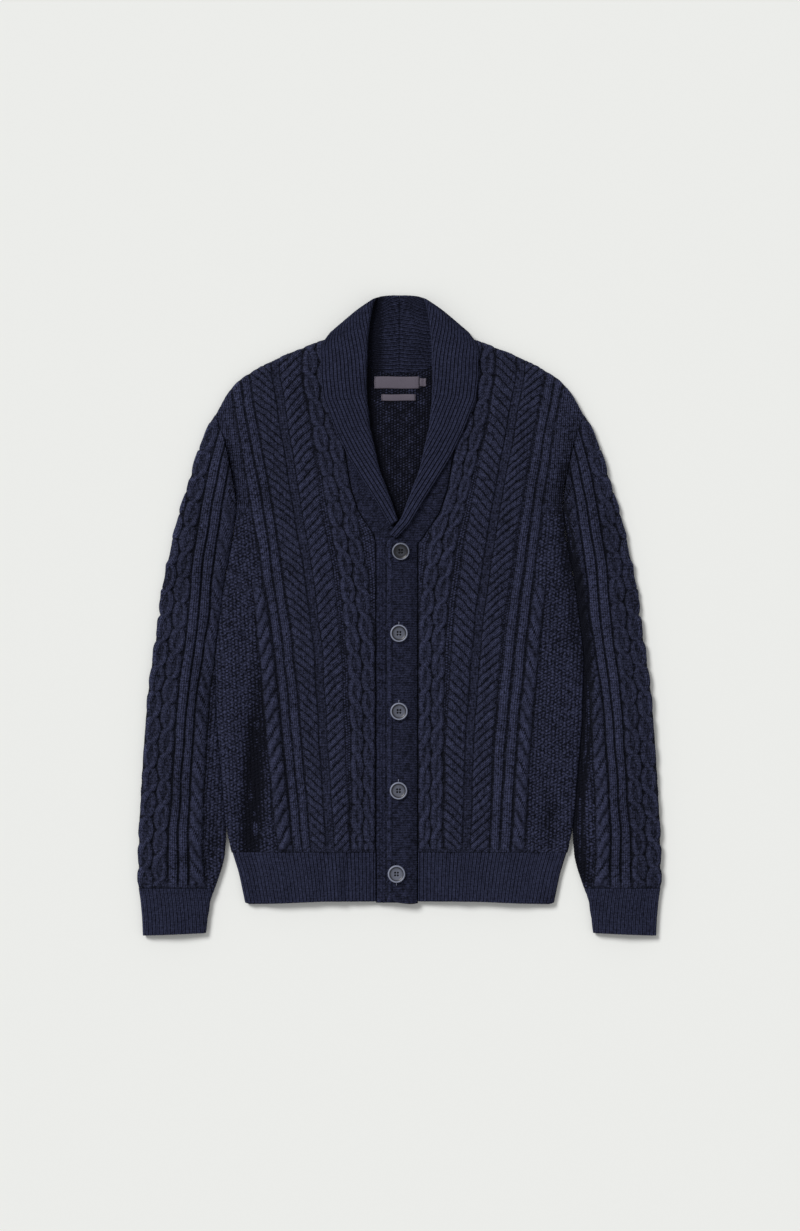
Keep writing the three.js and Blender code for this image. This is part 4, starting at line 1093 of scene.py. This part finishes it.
# Bare woven tape, sewn down at its ends.
def wovenTape(name, colour, thread):
    material, tree = newMaterial(name)
    where = addNode(tree, "TexCoord").outputs["Object"]
    turned = addNode(tree, "Mapping", None,
                     {"Vector": where, "Rotation": (0, 0, np.pi / 2)}).outputs[0]
    bands = {"Scale": 620.0, "Distortion": 0.4, "Detail": 1.0}
    warp = addNode(tree, "TexWave", None, {"Vector": where, **bands}).outputs["Fac"]
    weft = addNode(tree, "TexWave", None, {"Vector": turned, **bands}).outputs["Fac"]
    weave = addNode(tree, "Math", dict(operation="MULTIPLY"), {0: warp, 1: weft}).outputs[0]
    tint = addNode(tree, "Mix", dict(data_type="RGBA"),
                   {0: weave, 6: linear(thread), 7: linear(colour)}).outputs[2]
    bump = addNode(tree, "Bump", None, {"Distance": 0.08 * mm, "Height": weave}).outputs[0]
    shader = addNode(tree, "BsdfPrincipled", None,
                     {"Base Color": tint, "Roughness": 0.55, "Normal": bump, "Sheen Weight": 0.2})
    addNode(tree, "OutputMaterial", None, {0: shader.outputs[0]})
    return material


labelTape = wovenTape("bare_satin_tape", "#685f6e", "#4b4452")
labels = dict(main=(-31.5, 24.6, 282.6, 297.6), size=(25.2, 33.0, 285.4, 295.4),
              care=(-22.6, 20.0, 267.5, 275.4))


def buildLabel(name, x0, x1, y0, y1):
    n, m = 30, 12
    u, v = np.linspace(0, 1, n)[:, None], np.linspace(0, 1, m)[None, :]
    x = mix(x0, x1, u) + 0.15 * np.sin(9 * v)
    y = mix(y0, y1, v) + 0.2 * np.sin(7 * u + x0)
    z = 5.0 + 0.28 * np.sin(5 * u + 1) * np.sin(np.pi * u) + 0.2 * np.sin(np.pi * v)
    z = z - 0.25 * np.exp(-((u - 0.03) / 0.03) ** 2) - 0.25 * np.exp(-((u - 0.97) / 0.03) ** 2)
    face = stacked(x, y, z + 0.15)
    under = stacked(x, y, z - 0.25)[:, ::-1]
    return addShell(name, joined(face, under), m, 1, {})


for key, (x0, x1, y0, y1) in labels.items():
    tape = buildLabel("label_" + key + "_tape", x0, x1, y0, y1)
    finishPiece(tape, "label", labelTape, "label_" + key)
    for k in range(7):
        for n, x in enumerate((x0 + 1.4, x1 - 1.4) if key != "size" else (x0 + 0.9,)):
            y = mix(y0 + 0.8, y1 - 0.8, k / 6)
            tick = [(x - 0.45, y - 0.3, 5.0), (x, y, 5.35), (x + 0.45, y + 0.3, 5.0)]
            thread = addThread("label_%s_stitch_%d%d" % (key, n, k), tick, 0.14, 5)
            finishPiece(thread, "label", sewingThread)
print("labels made")

# A pale, plain floor, a large soft light from the upper left, and the room's light.
floorMesh = bpy.data.meshes.new("floor")
floorMesh.from_pydata([(-4, -4, 0), (4, -4, 0), (4, 4, 0), (-4, 4, 0)], [], [(0, 1, 2, 3)])
floor = addObject("floor", floorMesh)
paper, paperTree = newMaterial("pale_paper")
matt = addNode(paperTree, "BsdfPrincipled", None,
               {"Base Color": linear("#f4f5f2"), "Roughness": 0.9})
addNode(paperTree, "OutputMaterial", None, {0: matt.outputs[0]})
floorMesh.materials.append(paper)

sunlight = bpy.data.lights.new("soft_window", "SUN")
sunlight.energy, sunlight.angle = 2.37, np.radians(22)
window = addObject("soft_window", sunlight)
window.rotation_euler = (np.radians(-31), np.radians(-39), 0)
world = bpy.data.worlds.new("studio")
bpy.context.scene.world = world
world.use_nodes = True
room = world.node_tree.nodes["Background"].inputs
room[0].default_value, room[1].default_value = (1.0, 1.0, 1.0, 1.0), 0.42

view = bpy.data.cameras.new("overhead")
view.lens, view.sensor_width = 85, 36
camera = addObject("overhead", view)
camera.location = (0.0006, -0.0006, 3.633)
bpy.context.scene.camera = camera
bpy.context.scene.view_settings.view_transform = "Standard"
